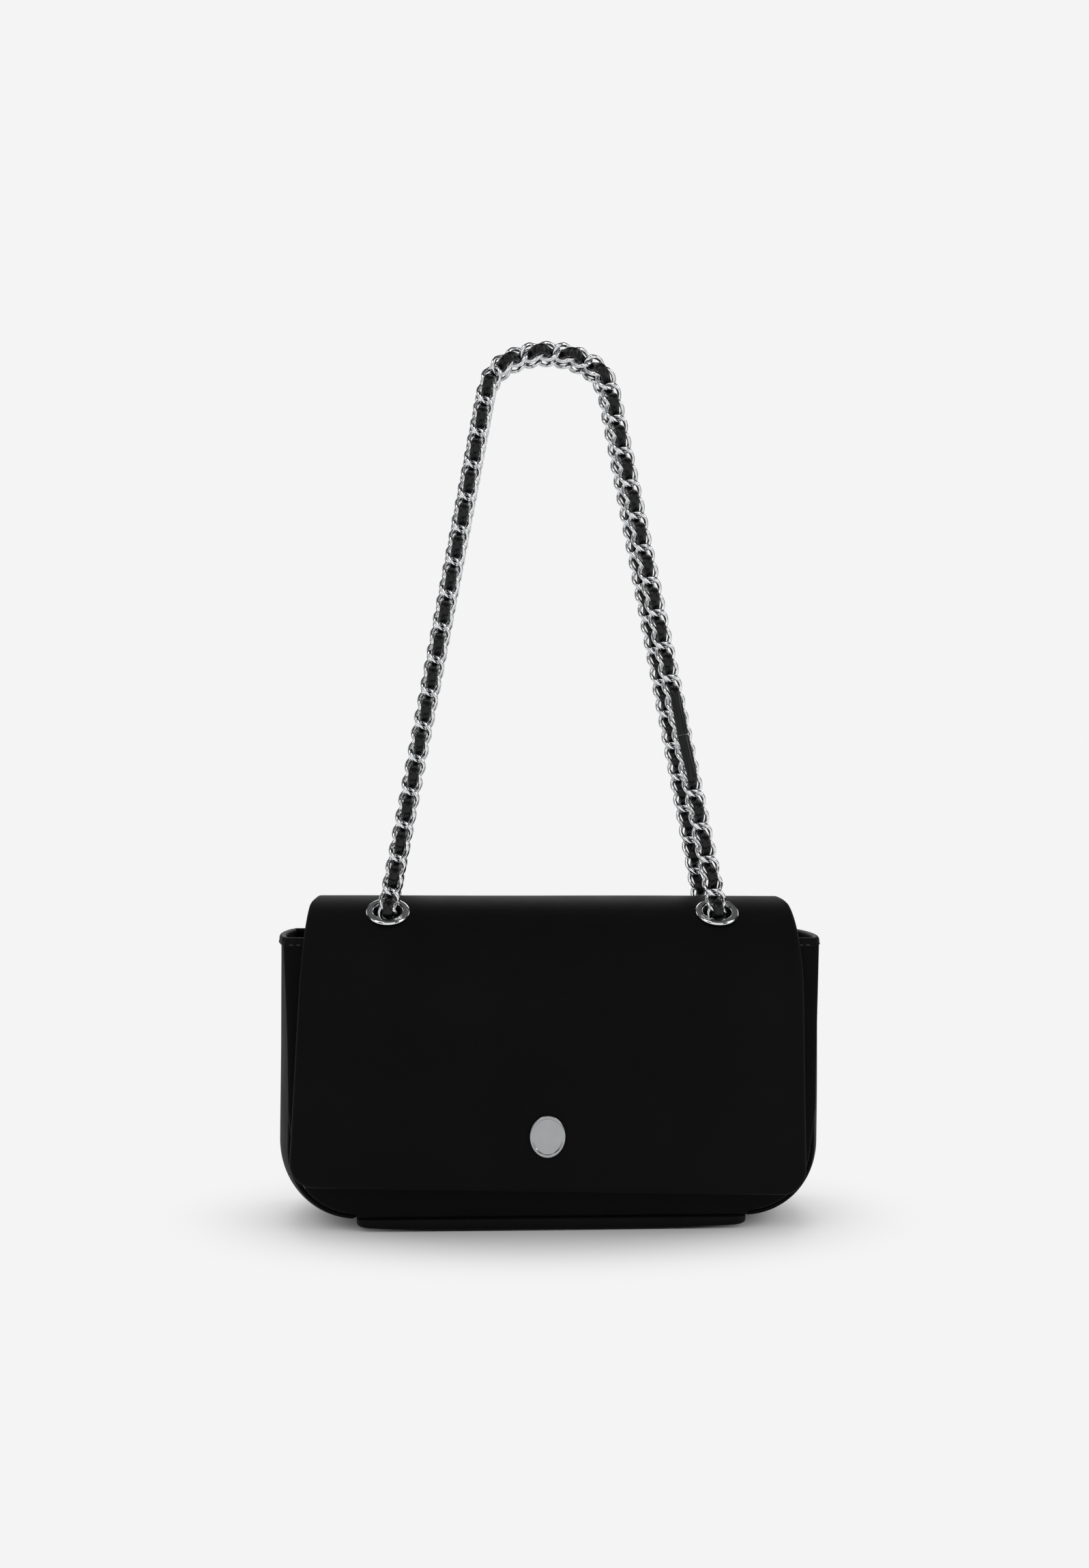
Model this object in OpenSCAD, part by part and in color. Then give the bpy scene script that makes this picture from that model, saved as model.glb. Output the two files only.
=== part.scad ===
// Chain shoulder bag: a flap bag with a leather-laced chain strap, run doubled through four eyelets.
// Millimetres. X is to the right as seen from the front, -Y is the front, Z is up.
// The origin is on the ground, under the middle of the bag.

/* [Bag body] */
// Width over the bulge of the two side gussets
bag_w = 249; // [220:1:290]
// Height of the mouth rim above the ground
mouth_h = 130.5; // [115:0.5:150]
// Depth over the front and back panels where they bow out most
body_d = 72.8; // [64:0.2:90]
// How far each panel curves in from there up to the mouth
mouth_in = 9.6; // [7:0.1:9.8]
// Height at which the panels bow out most
bow_h = 50; // [40:1:65]
// Radius of the bulge of a gusset, seen from above
gusset_r = 94; // [80:1:120]
// Radius of the lower corners, measured at the bulge of the gusset
corner_r = 36.6; // [30:0.1:44]
// Thickness of the front and back panels
panel_t = 2.5; // [1.6:0.1:3.2]
// Thickness of the gussets
gusset_t = 2; // [1.4:0.1:2.6]
// How far the sewn edge of the panels stands out past a gusset
seam_step = 1; // [0.4:0.1:1.6]
// Thickness of the lining
lining_t = 0.7; // [0.5:0.1:1.2]
// Height of the folded hem round the mouth
hem_h = 4.5; // [3.5:0.1:6]
// Thickness of the folded hem
hem_t = 3.2; // [2.6:0.1:4]

/* [Base] */
// Height of the base panel that the bag stands on
base_h = 5.7; // [4:0.1:8]
// Corner radius of the base panel, seen from above
base_corner_r = 6; // [3:0.5:10]
// Size of the sloped lower edge of the base panel
base_foot = 1.5; // [1:0.1:2.5]
// Thickness of the stiff board inside the bottom
board_t = 1.8; // [1:0.1:3]

/* [Flap] */
// Gap between the arch of the flap and the hems of the mouth
hem_clear = 0.9; // [0.5:0.1:3]
// Gap between the hanging flap and the front panel
flap_clear = 1.1; // [1:0.1:3]
// Height of the lower edge of the flap above the ground
flap_low = 19; // [14:0.5:34]
// Width of the flap at the top
flap_top_w = 222; // [200:1:236]
// Width of the flap at its lower edge
flap_low_w = 230; // [205:1:240]
// Radius of the lower corners of the flap
flap_corner_r = 11; // [6:0.5:20]
// Radius of the shoulders of the flap, seen from the front
flap_shoulder_r = 6; // [3:0.5:10]
// Lean of the hanging flap, clockwise as seen from the front, in degrees
flap_lean = 0.8; // [0:0.1:1.5]
// Thickness of the outer leather of the flap
cover_t = 1.8; // [1.2:0.1:2.4]
// Thickness of the padding in the flap
foam_t = 2; // [1:0.1:3]
// Thickness of the lining of the flap
flap_lining_t = 0.8; // [0.5:0.1:1.2]
// Height of the strip that sews the flap to the back panel
anchor_h = 14; // [10:0.5:20]
// Thickness of that strip
anchor_t = 2.3; // [1.5:0.1:2.5]
// Width of the oval badge on the flap
badge_w = 16; // [12:0.5:22]
// Height of the oval badge
badge_h = 19; // [14:0.5:26]
// Thickness of the badge
badge_t = 1.4; // [0.8:0.1:2]
// Height of the badge's middle above the ground
badge_z = 44; // [40:0.5:80]
// How far the badge sits to the left of the middle
badge_left = 3.5; // [0:0.5:6]

/* [Eyelets] */
// Distance between the left and the right eyelets
eyelet_spacing = 150; // [120:1:170]
// Distance between a front and a back eyelet
eyelet_depth = 44; // [42:0.5:48]
// Outer diameter of the eyelet rim
eyelet_d = 20; // [18:0.5:24]
// Bore of the eyelet
eyelet_bore = 13; // [12.8:0.1:15]
// Wall of the eyelet barrel
eyelet_wall = 0.8; // [0.5:0.1:1.2]
// Height of the eyelet rim
eyelet_rim_h = 1.7; // [1.2:0.1:2.2]

/* [Chain strap] */
// Thickness of the chain wire
wire_d = 2; // [1.6:0.1:2]
// Distance from one link to the next
link_pitch = 7.7; // [7.5:0.1:8.2]
// Slack between two links that hook into each other
link_slack = 0.3; // [0.3:0.05:0.4]
// Turn of each link out of the flat of the chain, to one side and the other, in degrees
link_turn = 40; // [38:1:42]
// Links in the front strand, and in the back strand
strand_links = 73; // [61:2:85]
// Lean of the two strands towards each other, in degrees
strand_lean = 3.8; // [2:0.1:4]
// Radius of the two corners at the top of the strap
strap_corner_r = 20; // [20:1:26]
// Radius of the top of the strap between these corners
strap_top_r = 40; // [30:1:60]
// Turn of each corner at the top of the strap, in degrees
strap_corner_turn = 52; // [40:1:60]
// Width of the leather lace
lace_w = 4; // [3:0.1:4.3]
// Thickness of the leather lace
lace_t = 1.6; // [1.2:0.1:1.7]
// How far the lace rises and dips as it passes over and under the links
lace_rise = 3.7; // [3.6:0.1:4]

/* [Closure and pocket] */
// Diameter of the flanges of the magnetic snap
snap_d = 18; // [15:0.5:20]
// Width of the zipped pocket inside the back
pocket_w = 140; // [110:1:160]
// Height of the pocket, from its bottom to the zip
pocket_h = 64; // [40:1:70]
// Height of the zip's middle above the ground
zip_z = 100; // [90:1:104]
// Pitch of the zip teeth
tooth_pitch = 2.5; // [2:0.1:4]
// Length of the zip slider
slider_l = 9; // [8:0.5:12]
// Length of the zip pull
pull_l = 17; // [12:0.5:22]

/* [Hidden] */
$fn = 48;
// Fineness of the wide bows and of the link rings
wide_fn = 240;
ring_fn = 32;

// Gap between two pieces that are sewn or laid against each other
seam_gap = 0.3;
// Gap between the layers of the flap
layer_gap = 0.2;
// Gap round a barrel in its punched hole
punch_gap = 0.2;
// Overrun of a cut past the face that it cuts
over = 1;
// A size larger than the bag, for bounding blocks
far = 2 * (bag_w + body_d);

// Colours
black_leather = [0.10, 0.10, 0.11];
edge_leather = [0.15, 0.15, 0.16];
lace_leather = [0.05, 0.05, 0.06];
lining_grey = [0.52, 0.51, 0.50];
foam_grey = [0.75, 0.75, 0.72];
board_brown = [0.48, 0.40, 0.30];
bright_metal = [0.80, 0.81, 0.84];

// Bag body, worked out
gusset_cx = bag_w / 2 - gusset_r;
corner_x = bag_w / 2 - corner_r;
corner_z = corner_r + seam_gap;
// Radius of the bow of the front and back panels, seen from the side
panel_bow_r = (pow(mouth_h - bow_h, 2) + pow(mouth_in, 2)) / (2 * mouth_in);
bow_y = panel_bow_r - body_d / 2;
// Distance of a panel's face from the middle of the bag at the height z, drawn in by k
function panel_y(z, k) = sqrt(pow(panel_bow_r - k, 2) - pow(z - bow_h, 2)) - bow_y;
panel_z = base_h + seam_gap;
hem_z = mouth_h - hem_h;
wall_top = hem_z - seam_gap;
board_z = base_h + seam_gap;
lining_z = board_z + board_t + seam_gap;
lining_in = panel_t + seam_gap;
lining_side_in = gusset_t + seam_gap;

// Flap, worked out. The middle of its arch is over the middle of the bag, and its radius lets the front
// hang clear of the front panel.
flap_t = cover_t + foam_t + flap_lining_t + 2 * layer_gap;
arch_r = body_d / 2 + flap_clear + flap_t;
// Turn of an eyelet about the middle of the arch, and the place of the link hook in it
eyelet_angle = asin(eyelet_depth / 2 / arch_r);
hook_rise = 2;
hook_r = arch_r + hook_rise;
hook_y = hook_r * sin(eyelet_angle);
link_r = (link_pitch + wire_d + link_slack) / 2;
// Heights of the middle of the arch at which its inside clears the hems of the mouth, and at which the
// chain under it does. The arch takes the greater.
hems_h = mouth_h - sqrt(pow(arch_r - flap_t - hem_clear, 2) - pow(panel_y(mouth_h, 0), 2));
run_reach = link_r + wire_d / 2 + seam_gap - (panel_y(mouth_h, hem_t) - hook_y) * cos(eyelet_angle);
run_h = mouth_h - hook_r * cos(eyelet_angle) + run_reach / sin(eyelet_angle);
arch_h = max(hems_h, run_h);
// At the back the arch turns on below its middle, until its end lies against the strip that sews it on
hinge_r = arch_r - flap_t / 2;
bow_gap = norm([bow_y, arch_h - bow_h]);
hinge_reach = panel_bow_r + anchor_t + flap_t / 2 + 2 * seam_gap;
wrap_turn = 180 - atan((arch_h - bow_h) / bow_y)
  - acos((pow(hinge_r, 2) + pow(bow_gap, 2) - pow(hinge_reach, 2)) / (2 * hinge_r * bow_gap));
hinge_y = hinge_r * cos(wrap_turn);
hinge_z = arch_h - hinge_r * sin(wrap_turn);
foam_r = arch_r - cover_t - layer_gap;
flap_lining_r = foam_r - foam_t - layer_gap;
filling_in = cover_t + seam_gap;
// Turns of the arch from its end at the back to the start of the filling, and of the hollow for it
filling_turn = (flap_t / 2 + seam_gap) / hinge_r * 180 / PI;
hollow_turn = flap_t / 2 / hinge_r * 180 / PI;

// Eyelets, worked out
barrel_d = eyelet_bore + 2 * eyelet_wall;
rim_sink = eyelet_rim_h / 2;
washer_t = 0.8;
washer_d = eyelet_d - 2 * layer_gap;
washer_top = sqrt(pow(foam_r - foam_t, 2) - pow(washer_d / 2, 2)) - layer_gap / 2;
barrel_low = washer_top - washer_t - layer_gap;

// Magnetic snap, worked out
snap_flange_t = 0.5;
snap_barrel_d = 0.78 * snap_d;
snap_recess_d = snap_d / 2;
snap_room = 1.2;
snap_stud_d = snap_recess_d - 2 * snap_room;
snap_stud_h = 0.8;
snap_recess_h = 1.5;

// Pocket and zip, worked out
pocket_in = lining_in + lining_t + seam_gap;
pocket_t = 0.8;
tape_t = 0.6;
tape_w = 7;
teeth_w = 1.4;
teeth_h = 2;
teeth_l = pocket_w - 2 * tape_w;
stop_l = 2;
zip_slope = asin((zip_z - bow_h) / (panel_bow_r - pocket_in));
zip_y = panel_y(zip_z, pocket_in);
slider_w = 6.4;
slider_low = tape_t + seam_gap;
slider_h = 3.2;
slider_x = -teeth_l / 2 + slider_l / 2 + seam_gap;
bail_r = 2.8;
bail_d = 0.9;
eye_r = 1.7;
eye_d = 0.8;
pull_w = 5;
pull_t = 1;
// Height of the bail's wire, in which the eye of the pull hangs, and the room that the eye has there
bail_z = slider_low + slider_h - bail_d / 2 + bail_r;
eye_gap = 0.1;

// Chain strap, worked out
// Links of the short run under the flap, from a front eyelet to a back one
run_links = 8;
hook_ease = 0.25;
hook_z = arch_h + hook_r * cos(eyelet_angle);
strand_l = strand_links * link_pitch - 2 * hook_ease;
run_l = run_links * link_pitch - 2 * hook_ease;
// Where the two ends of the lace are spliced, over the face of several links
splice_from_end = 13;
splice_span = 5;
splice_at = strand_links - splice_from_end;
splice_gap = 0.3;
// Steps of the lace from one link to the next
lace_steps = 4;
// How far short of the link hook in an eyelet each length of lace ends, as a share of a pitch
lace_end_share = 0.5;

// Strap seen from the front: two straight legs, two corners and the top, all tangent to each other
function arc_l(r, turn) = r * turn * PI / 180;
corner_len = arc_l(strap_corner_r, strap_corner_turn);
// Turn of half the top, given the lean of a leg
function top_turn(lean) = 90 - lean - strap_corner_turn;
function leg_l(lean) = strand_l / 2 - corner_len - arc_l(strap_top_r, top_turn(lean));
function half_w(lean) = leg_l(lean) * sin(lean) + strap_top_r * sin(top_turn(lean))
  + strap_corner_r * (sin(top_turn(lean) + strap_corner_turn) - sin(top_turn(lean)));
// The lean at which the legs end at the eyelets, found by halving
function find_lean(low, high, tries) = let (mid = (low + high) / 2)
  tries == 0 ? mid
  : half_w(mid) > eyelet_spacing / 2 ? find_lean(low, mid, tries - 1)
  : find_lean(mid, high, tries - 1);
leg_lean = find_lean(0, 30, 40);
leg_len = leg_l(leg_lean);

// Step along an arc of radius r that turns right from the heading a to the heading b
function right_arc(r, a, b) = r * [sin(a) - sin(b), cos(b) - cos(a)];
leg_end = [leg_len * sin(leg_lean) - eyelet_spacing / 2, leg_len * cos(leg_lean)];
corner_end = leg_end + right_arc(strap_corner_r, 90 - leg_lean, top_turn(leg_lean));
// Heading and place on the left half of a strand, at the length s along it
function left_heading(s) = s < leg_len ? 90 - leg_lean
  : s < leg_len + corner_len ? 90 - leg_lean - (s - leg_len) / strap_corner_r * 180 / PI
  : top_turn(leg_lean) - (s - leg_len - corner_len) / strap_top_r * 180 / PI;
function left_place(s) = s < leg_len ? [s * sin(leg_lean) - eyelet_spacing / 2, s * cos(leg_lean)]
  : s < leg_len + corner_len ? leg_end + right_arc(strap_corner_r, 90 - leg_lean, left_heading(s))
  : corner_end + right_arc(strap_top_r, top_turn(leg_lean), left_heading(s));
function mirrored(p) = [-p[0], p[1]];
function strand_heading(s) = s <= strand_l / 2 ? left_heading(s) : -left_heading(strand_l - s);
function strand_place(s) = s <= strand_l / 2 ? left_place(s) : mirrored(left_place(strand_l - s));
// A frame of the chain: its place, its run, its width and its face there
function strand_frame(s) = let (h = strand_heading(s), p = strand_place(s))
  [[p[0], p[1], 0], [cos(h), sin(h), 0], [-sin(h), cos(h), 0], [0, 0, 1]];

// Run under the flap: in through a front eyelet, round below the arch and out of the back one
run_turn = 180 - 2 * eyelet_angle;
run_tangent = (2 * hook_r - run_l) / (2 - run_turn * PI / 180 / tan(run_turn / 2));
run_r = run_tangent / tan(run_turn / 2);
run_straight = hook_r - run_tangent;
run_start = [-hook_y, hook_z];
run_bend = run_start + run_straight * [cos(run_turn / 2), -sin(run_turn / 2)];
function front_heading(s) = s < run_straight ? -run_turn / 2
  : (s - run_straight) / run_r * 180 / PI - run_turn / 2;
function front_place(s) = s < run_straight ? run_start + s * [cos(run_turn / 2), -sin(run_turn / 2)]
  : run_bend - right_arc(run_r, -run_turn / 2, front_heading(s));
function run_heading(s) = s <= run_l / 2 ? front_heading(s) : -front_heading(run_l - s);
function run_place(s) = s <= run_l / 2 ? front_place(s) : mirrored(front_place(run_l - s));
function run_frame(s) = let (h = run_heading(s), p = run_place(s))
  [[p[0], p[1], 0], [cos(h), sin(h), 0], [0, 0, 1], [sin(h), -cos(h), 0]];

// Side on which the lace passes the hook j between two links: 1 is the face of the chain, -1 its back
function plain_side(j) = j % 2 == 0 ? 1 : -1;
function lace_side(j, splice) = j < splice ? plain_side(j)
  : j <= splice + splice_span ? 1
  : plain_side(j - splice - splice_span);
// Rise of the lace as a share of its greatest rise, x pitches along the chain
function rise_share(x, splice) = let (j = floor(x), u = x - j)
  (lace_side(j, splice) * (1 + cos(180 * u)) + lace_side(j + 1, splice) * (1 - cos(180 * u))) / 2;
// Outline of the lace as shares of its half width and half thickness, and how far its edges curl up
section_shares = [
  [-1, -0.35], [-0.7, -1], [0.7, -1], [1, -0.35], [1, 0.35], [0.7, 1], [-0.7, 1], [-1, 0.35]
];
curl_share = 0.75;
step_share = 0.01;
// One ring of the lace in the chain's frame f, x pitches along the chain
function lace_ring(f, x, splice) = let (
    share = rise_share(x, splice),
    slope = lace_rise * (rise_share(x + step_share, splice) - rise_share(x - step_share, splice))
      / (2 * step_share * link_pitch),
    face = (f[3] - slope * f[1]) / norm(f[3] - slope * f[1]),
    curl = curl_share * lace_t * share
  )
  [for (q = section_shares)
    f[0] + lace_rise * share * f[3] + q[0] * lace_w / 2 * f[2]
      + (q[1] * lace_t / 2 + curl * q[0] * q[0]) * face];

// Shapes that the body is cut from

// Plan of the right side of the bag, from the axis of the lower right corner to the bulge, drawn in by k
module side_plan(k) {
  intersection() {
    translate([gusset_cx - corner_x, 0]) circle(r = gusset_r - k, $fn = wide_fn);
    translate([0, -body_d / 2 - over]) square([far, body_d + 2 * over]);
  }
}

// Right side of the bag: straight above, turned round the corner below
module side_block(k, top) {
  translate([corner_x, 0, corner_z]) {
    linear_extrude(top - corner_z) side_plan(k);
    rotate([-90, 0, 0]) rotate_extrude(angle = 90, $fn = 96) side_plan(k);
  }
}

// Space between the two gussets, drawn in by k, from the height low to the height top
module side_space(k, low, top) {
  intersection() {
    union() {
      side_block(k, top);
      mirror([1, 0, 0]) side_block(k, top);
      translate([-corner_x, -body_d / 2 - over, 0]) cube([2 * corner_x, body_d + 2 * over, top]);
    }
    translate([-far / 2, -far / 2, low]) cube([far, far, top - low]);
  }
}

// Disc whose edge is the bow of the back panel in the side view, drawn in by k
module bow_disc(k) {
  translate([-bow_y, bow_h]) circle(r = panel_bow_r - k, $fn = wide_fn * 2);
}

// A side view, drawn with Y to the right and Z up, made into a bar of the width w across the bag
module across(w) {
  translate([-w / 2, 0, 0]) rotate([90, 0, 90]) linear_extrude(w) children();
}

// Space between the two panels, drawn in by k
module depth_space(k) {
  across(far) intersection() {
    bow_disc(k);
    mirror([1, 0]) bow_disc(k);
  }
}

// Sheet that follows the back panel: its outer face k inside the panel's, its thickness t
module back_sheet(k, t, low, high, w) {
  across(w) intersection() {
    difference() {
      bow_disc(k);
      bow_disc(k + t);
    }
    translate([0, low]) square([body_d, high - low]);
  }
}

module panel_shell() {
  intersection() {
    back_sheet(0, panel_t, panel_z, wall_top, far);
    side_space(-seam_step, panel_z, mouth_h);
  }
}

module panel_hem() {
  intersection() {
    back_sheet(0, hem_t, hem_z, mouth_h, far);
    side_space(-seam_step, hem_z, mouth_h);
  }
}

module gusset_shell() {
  intersection() {
    difference() {
      side_block(0, wall_top);
      side_block(gusset_t, wall_top + over);
    }
    depth_space(lining_in);
    translate([corner_x + seam_gap, -far / 2, 0]) cube(far);
  }
}

module gusset_hem() {
  hem_in = (gusset_t - hem_t) / 2;
  intersection() {
    translate([corner_x, 0, hem_z]) linear_extrude(hem_h) difference() {
      side_plan(hem_in);
      translate([gusset_cx - corner_x, 0]) circle(r = gusset_r - hem_in - hem_t, $fn = wide_fn);
    }
    depth_space(hem_t + seam_gap);
  }
}

// Front of the magnetic snap: local Z points out of the front, from the height where it sits
module at_snap(y) {
  translate([0, y, bow_h]) rotate([90, 0, 0]) children();
}

// Body

module front_panel() {
  color(black_leather) difference() {
    mirror([0, 1, 0]) panel_shell();
    at_snap(-body_d / 2) {
      translate([0, 0, -panel_t - over]) cylinder(d = snap_barrel_d + 2 * punch_gap, h = panel_t + 2 * over);
      translate([0, 0, -snap_flange_t / 2 - punch_gap]) cylinder(d = snap_d + 2 * punch_gap, h = over);
    }
  }
}

module back_panel() {
  color(black_leather) panel_shell();
}

module side_gusset_left() {
  color(edge_leather) mirror([1, 0, 0]) gusset_shell();
}

module side_gusset_right() {
  color(edge_leather) gusset_shell();
}

module base_plan(w, d, k) {
  hull() for (x = [-1, 1], y = [-1, 1])
    translate([x * (w / 2 - base_corner_r), y * (d / 2 - base_corner_r)]) circle(r = base_corner_r - k);
}

// Base with stepped ends, set flush under the panels, its lower edge sloped in
module base_panel() {
  base_w = 2 * corner_x;
  base_d = 2 * panel_y(panel_z, 0);
  color(edge_leather) hull() {
    translate([0, 0, base_foot]) linear_extrude(base_h - base_foot) base_plan(base_w, base_d, 0);
    linear_extrude(base_foot) base_plan(base_w, base_d, base_foot);
  }
}

module base_board() {
  board_w = 2 * (corner_x - gusset_t);
  board_d = 2 * panel_y(board_z, lining_in);
  color(board_brown) translate([0, 0, board_z]) linear_extrude(board_t) base_plan(board_w, board_d, 0);
}

module lining_space(k) {
  intersection() {
    side_space(lining_side_in + k, lining_z + k, k > 0 ? mouth_h : wall_top);
    depth_space(lining_in + k);
  }
}

// Lining bag, open at the mouth
module lining() {
  color(lining_grey) difference() {
    lining_space(0);
    lining_space(lining_t);
  }
}

module hem_front() {
  color(edge_leather) mirror([0, 1, 0]) panel_hem();
}

module hem_back() {
  color(edge_leather) panel_hem();
}

module hem_left() {
  color(edge_leather) mirror([1, 0, 0]) gusset_hem();
}

module hem_right() {
  color(edge_leather) gusset_hem();
}

// Strip sewn to the back panel, its upper edge under the rolled end of the flap
module flap_anchor() {
  anchor_top = hinge_z + flap_t / 2;
  anchor_w = flap_top_w - 2 * filling_in;
  color(black_leather)
    back_sheet(-seam_gap - anchor_t, anchor_t, anchor_top - anchor_h, anchor_top, anchor_w);
}

module snap_socket() {
  color(bright_metal) at_snap(-body_d / 2) difference() {
    union() {
      translate([0, 0, -snap_flange_t / 2]) cylinder(d = snap_d, h = snap_flange_t);
      translate([0, 0, -panel_t]) cylinder(d = snap_barrel_d, h = panel_t);
    }
    translate([0, 0, snap_flange_t / 2 - snap_recess_h])
      cylinder(d = snap_recess_d, h = snap_recess_h + over);
  }
}

// Pocket inside the back, closed by a zip

// Local Z points from the lining into the bag, local Y up along the wall
module at_zip(x) {
  translate([x, zip_y, zip_z]) rotate([90 + zip_slope, 0, 0]) children();
}

module pocket_panel() {
  pocket_top = zip_z - tape_w - seam_gap;
  color(lining_grey) back_sheet(pocket_in, pocket_t, zip_z - tape_w - pocket_h, pocket_top, pocket_w);
}

module zip_tapes() {
  color(lace_leather) {
    back_sheet(pocket_in, tape_t, zip_z + teeth_w, zip_z + tape_w, pocket_w);
    back_sheet(pocket_in, tape_t, zip_z - tape_w, zip_z - teeth_w, pocket_w);
  }
}

// Closed teeth: a bar with a notch between each tooth and the next, on both sides in turn
module zip_teeth() {
  tooth_count = floor(teeth_l / tooth_pitch);
  color(bright_metal) at_zip(0) linear_extrude(teeth_h) difference() {
    square([teeth_l, 2 * teeth_w - 2 * seam_gap], center = true);
    for (i = [0 : tooth_count - 1], side = [-1, 1])
      translate([
        (i + 0.5 + side / 4) * tooth_pitch - tooth_count * tooth_pitch / 2,
        side * (teeth_w - seam_gap)
      ]) square([tooth_pitch / 2, teeth_w], center = true);
  }
}

module zip_stops() {
  color(bright_metal) for (side = [-1, 1])
    at_zip(side * (teeth_l / 2 + seam_gap + stop_l / 2)) linear_extrude(teeth_h)
      square([stop_l, 2 * teeth_w - 2 * seam_gap], center = true);
}

module zip_slider() {
  color(bright_metal) at_zip(slider_x) {
    difference() {
      translate([0, 0, slider_low]) linear_extrude(slider_h) intersection() {
        square([slider_l, slider_w], center = true);
        circle(d = slider_l * 1.06);
      }
      translate([-slider_l, -teeth_w, -over]) cube([2 * slider_l, 2 * teeth_w, over + teeth_h + seam_gap]);
    }
    translate([0, 0, slider_low + slider_h - bail_d / 2]) rotate([90, 0, 0])
      rotate_extrude(angle = 180, $fn = ring_fn) translate([bail_r, 0]) circle(d = bail_d, $fn = 24);
  }
}

module zip_pull() {
  eye_drop = eye_r - eye_d / 2 - bail_d / 2 - eye_gap;
  color(bright_metal) at_zip(slider_x) translate([0, 0, bail_z]) rotate([-zip_slope, 0, 0])
    translate([0, -eye_drop, 0]) {
      rotate([0, 90, 0]) rotate_extrude($fn = ring_fn) translate([eye_r, 0]) circle(d = eye_d, $fn = 24);
      translate([0, -eye_r - pull_l / 2, 0]) difference() {
        linear_extrude(pull_t, center = true) hull() for (y = [-1, 1])
          translate([0, y * (pull_l - pull_w) / 2]) circle(d = pull_w);
        translate([0, (pull_w - pull_l) / 2, 0])
          cylinder(d = pull_w / 2, h = pull_t + 2 * over, center = true);
      }
    }
}

// Flap

// Half plane above a line through the middle of the arch that falls to the back by the given turn
module above(turn) {
  translate([0, arch_h]) rotate(-turn) translate([-far / 2, 0]) square([far, far / 2]);
}

// Side view of a layer of the flap: a ring over the mouth that ends the given turn below the middle of
// the arch at the back, and a straight front
module layer_side(r, t, low, turn) {
  difference() {
    union() {
      intersection() {
        translate([0, arch_h]) circle(r = r, $fn = wide_fn);
        union() {
          above(0);
          above(turn);
        }
      }
      translate([-r, low]) square([r, arch_h - low]);
    }
    translate([0, arch_h]) circle(r = r - t, $fn = wide_fn);
    translate([t - r, low - over]) square([r - t, arch_h - low + over]);
  }
}

// Front view of the flap, drawn in by k
module flap_front(k) {
  top = arch_h + arch_r + seam_gap;
  translate([0, top]) rotate(-flap_lean) translate([0, -top]) hull() for (side = [-1, 1]) {
    translate([side * (flap_top_w / 2 - flap_shoulder_r), top - flap_shoulder_r])
      circle(r = flap_shoulder_r - k);
    translate([side * (flap_low_w / 2 - flap_corner_r), flap_low + flap_corner_r])
      circle(r = flap_corner_r - k);
  }
}

module flap_block(k) {
  translate([0, far / 2, 0]) rotate([90, 0, 0]) linear_extrude(far) flap_front(k);
}

// Local Z points out of the flap through an eyelet: left or right, front or back
module at_eyelet(left, front) {
  translate([(left ? -1 : 1) * eyelet_spacing / 2, 0, arch_h])
    rotate([(front ? 1 : -1) * eyelet_angle, 0, 0]) children();
}

module all_eyelets() {
  for (left = [true, false], front = [true, false]) at_eyelet(left, front) children();
}

module punch(d, low) {
  all_eyelets() translate([0, 0, low]) cylinder(d = d + 2 * punch_gap, h = arch_r - low + over);
}

// Outer leather, turned in at the sides and the lower edge, with a rolled end at the back
module flap_cover() {
  low = flap_low - flap_corner_r;
  color(black_leather) difference() {
    intersection() {
      across(far) {
        layer_side(arch_r, flap_t, low, wrap_turn);
        translate([hinge_y, hinge_z]) rotate(-wrap_turn) intersection() {
          circle(d = flap_t);
          translate([-flap_t, -flap_t]) square([2 * flap_t, flap_t]);
        }
      }
      flap_block(0);
    }
    intersection() {
      across(far) layer_side(arch_r - cover_t, flap_t, low - over, wrap_turn - hollow_turn);
      flap_block(cover_t);
    }
    punch(barrel_d, barrel_low);
    punch(eyelet_d, arch_r - rim_sink - punch_gap);
  }
}

module flap_foam() {
  color(foam_grey) difference() {
    intersection() {
      across(far) layer_side(foam_r, foam_t, flap_low - flap_corner_r, wrap_turn - filling_turn);
      flap_block(filling_in);
    }
    punch(barrel_d, barrel_low);
  }
}

module flap_lining() {
  low = flap_low - flap_corner_r;
  color(lining_grey) difference() {
    intersection() {
      across(far) layer_side(flap_lining_r, flap_lining_t, low, wrap_turn - filling_turn);
      flap_block(filling_in);
    }
    punch(washer_d, barrel_low);
  }
}

// Plain oval badge with a sloped rim, flat against the front of the flap
module badge() {
  rim_share = 0.86;
  color(bright_metal) translate([-badge_left, -arch_r, badge_z]) rotate([90, 0, 0]) hull() {
    linear_extrude(badge_t / 2) badge_oval(1);
    linear_extrude(badge_t) badge_oval(rim_share);
  }
}

module badge_oval(share) {
  hull() for (side = [-1, 1])
    translate([0, side * (badge_h - badge_w) / 2 * share]) circle(d = badge_w * share);
}

module snap_stud() {
  color(bright_metal) at_snap(flap_t - arch_r) mirror([0, 0, 1]) {
    cylinder(d = snap_d, h = snap_flange_t);
    cylinder(d = snap_stud_d, h = snap_flange_t + snap_stud_h);
  }
}

// Rim with a rounded top and the barrel below it
module eyelet() {
  rim_low = arch_r - rim_sink;
  round_r = eyelet_rim_h / 2;
  color(bright_metal) rotate_extrude($fn = 96) {
    translate([eyelet_bore / 2, barrel_low]) square([eyelet_wall, rim_low + round_r - barrel_low]);
    translate([eyelet_bore / 2, rim_low]) square([eyelet_d / 2 - eyelet_bore / 2 - round_r, eyelet_rim_h]);
    translate([eyelet_d / 2 - round_r, rim_low + round_r]) circle(r = round_r);
  }
}

module eyelet_front_left() {
  at_eyelet(true, true) eyelet();
}

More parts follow.
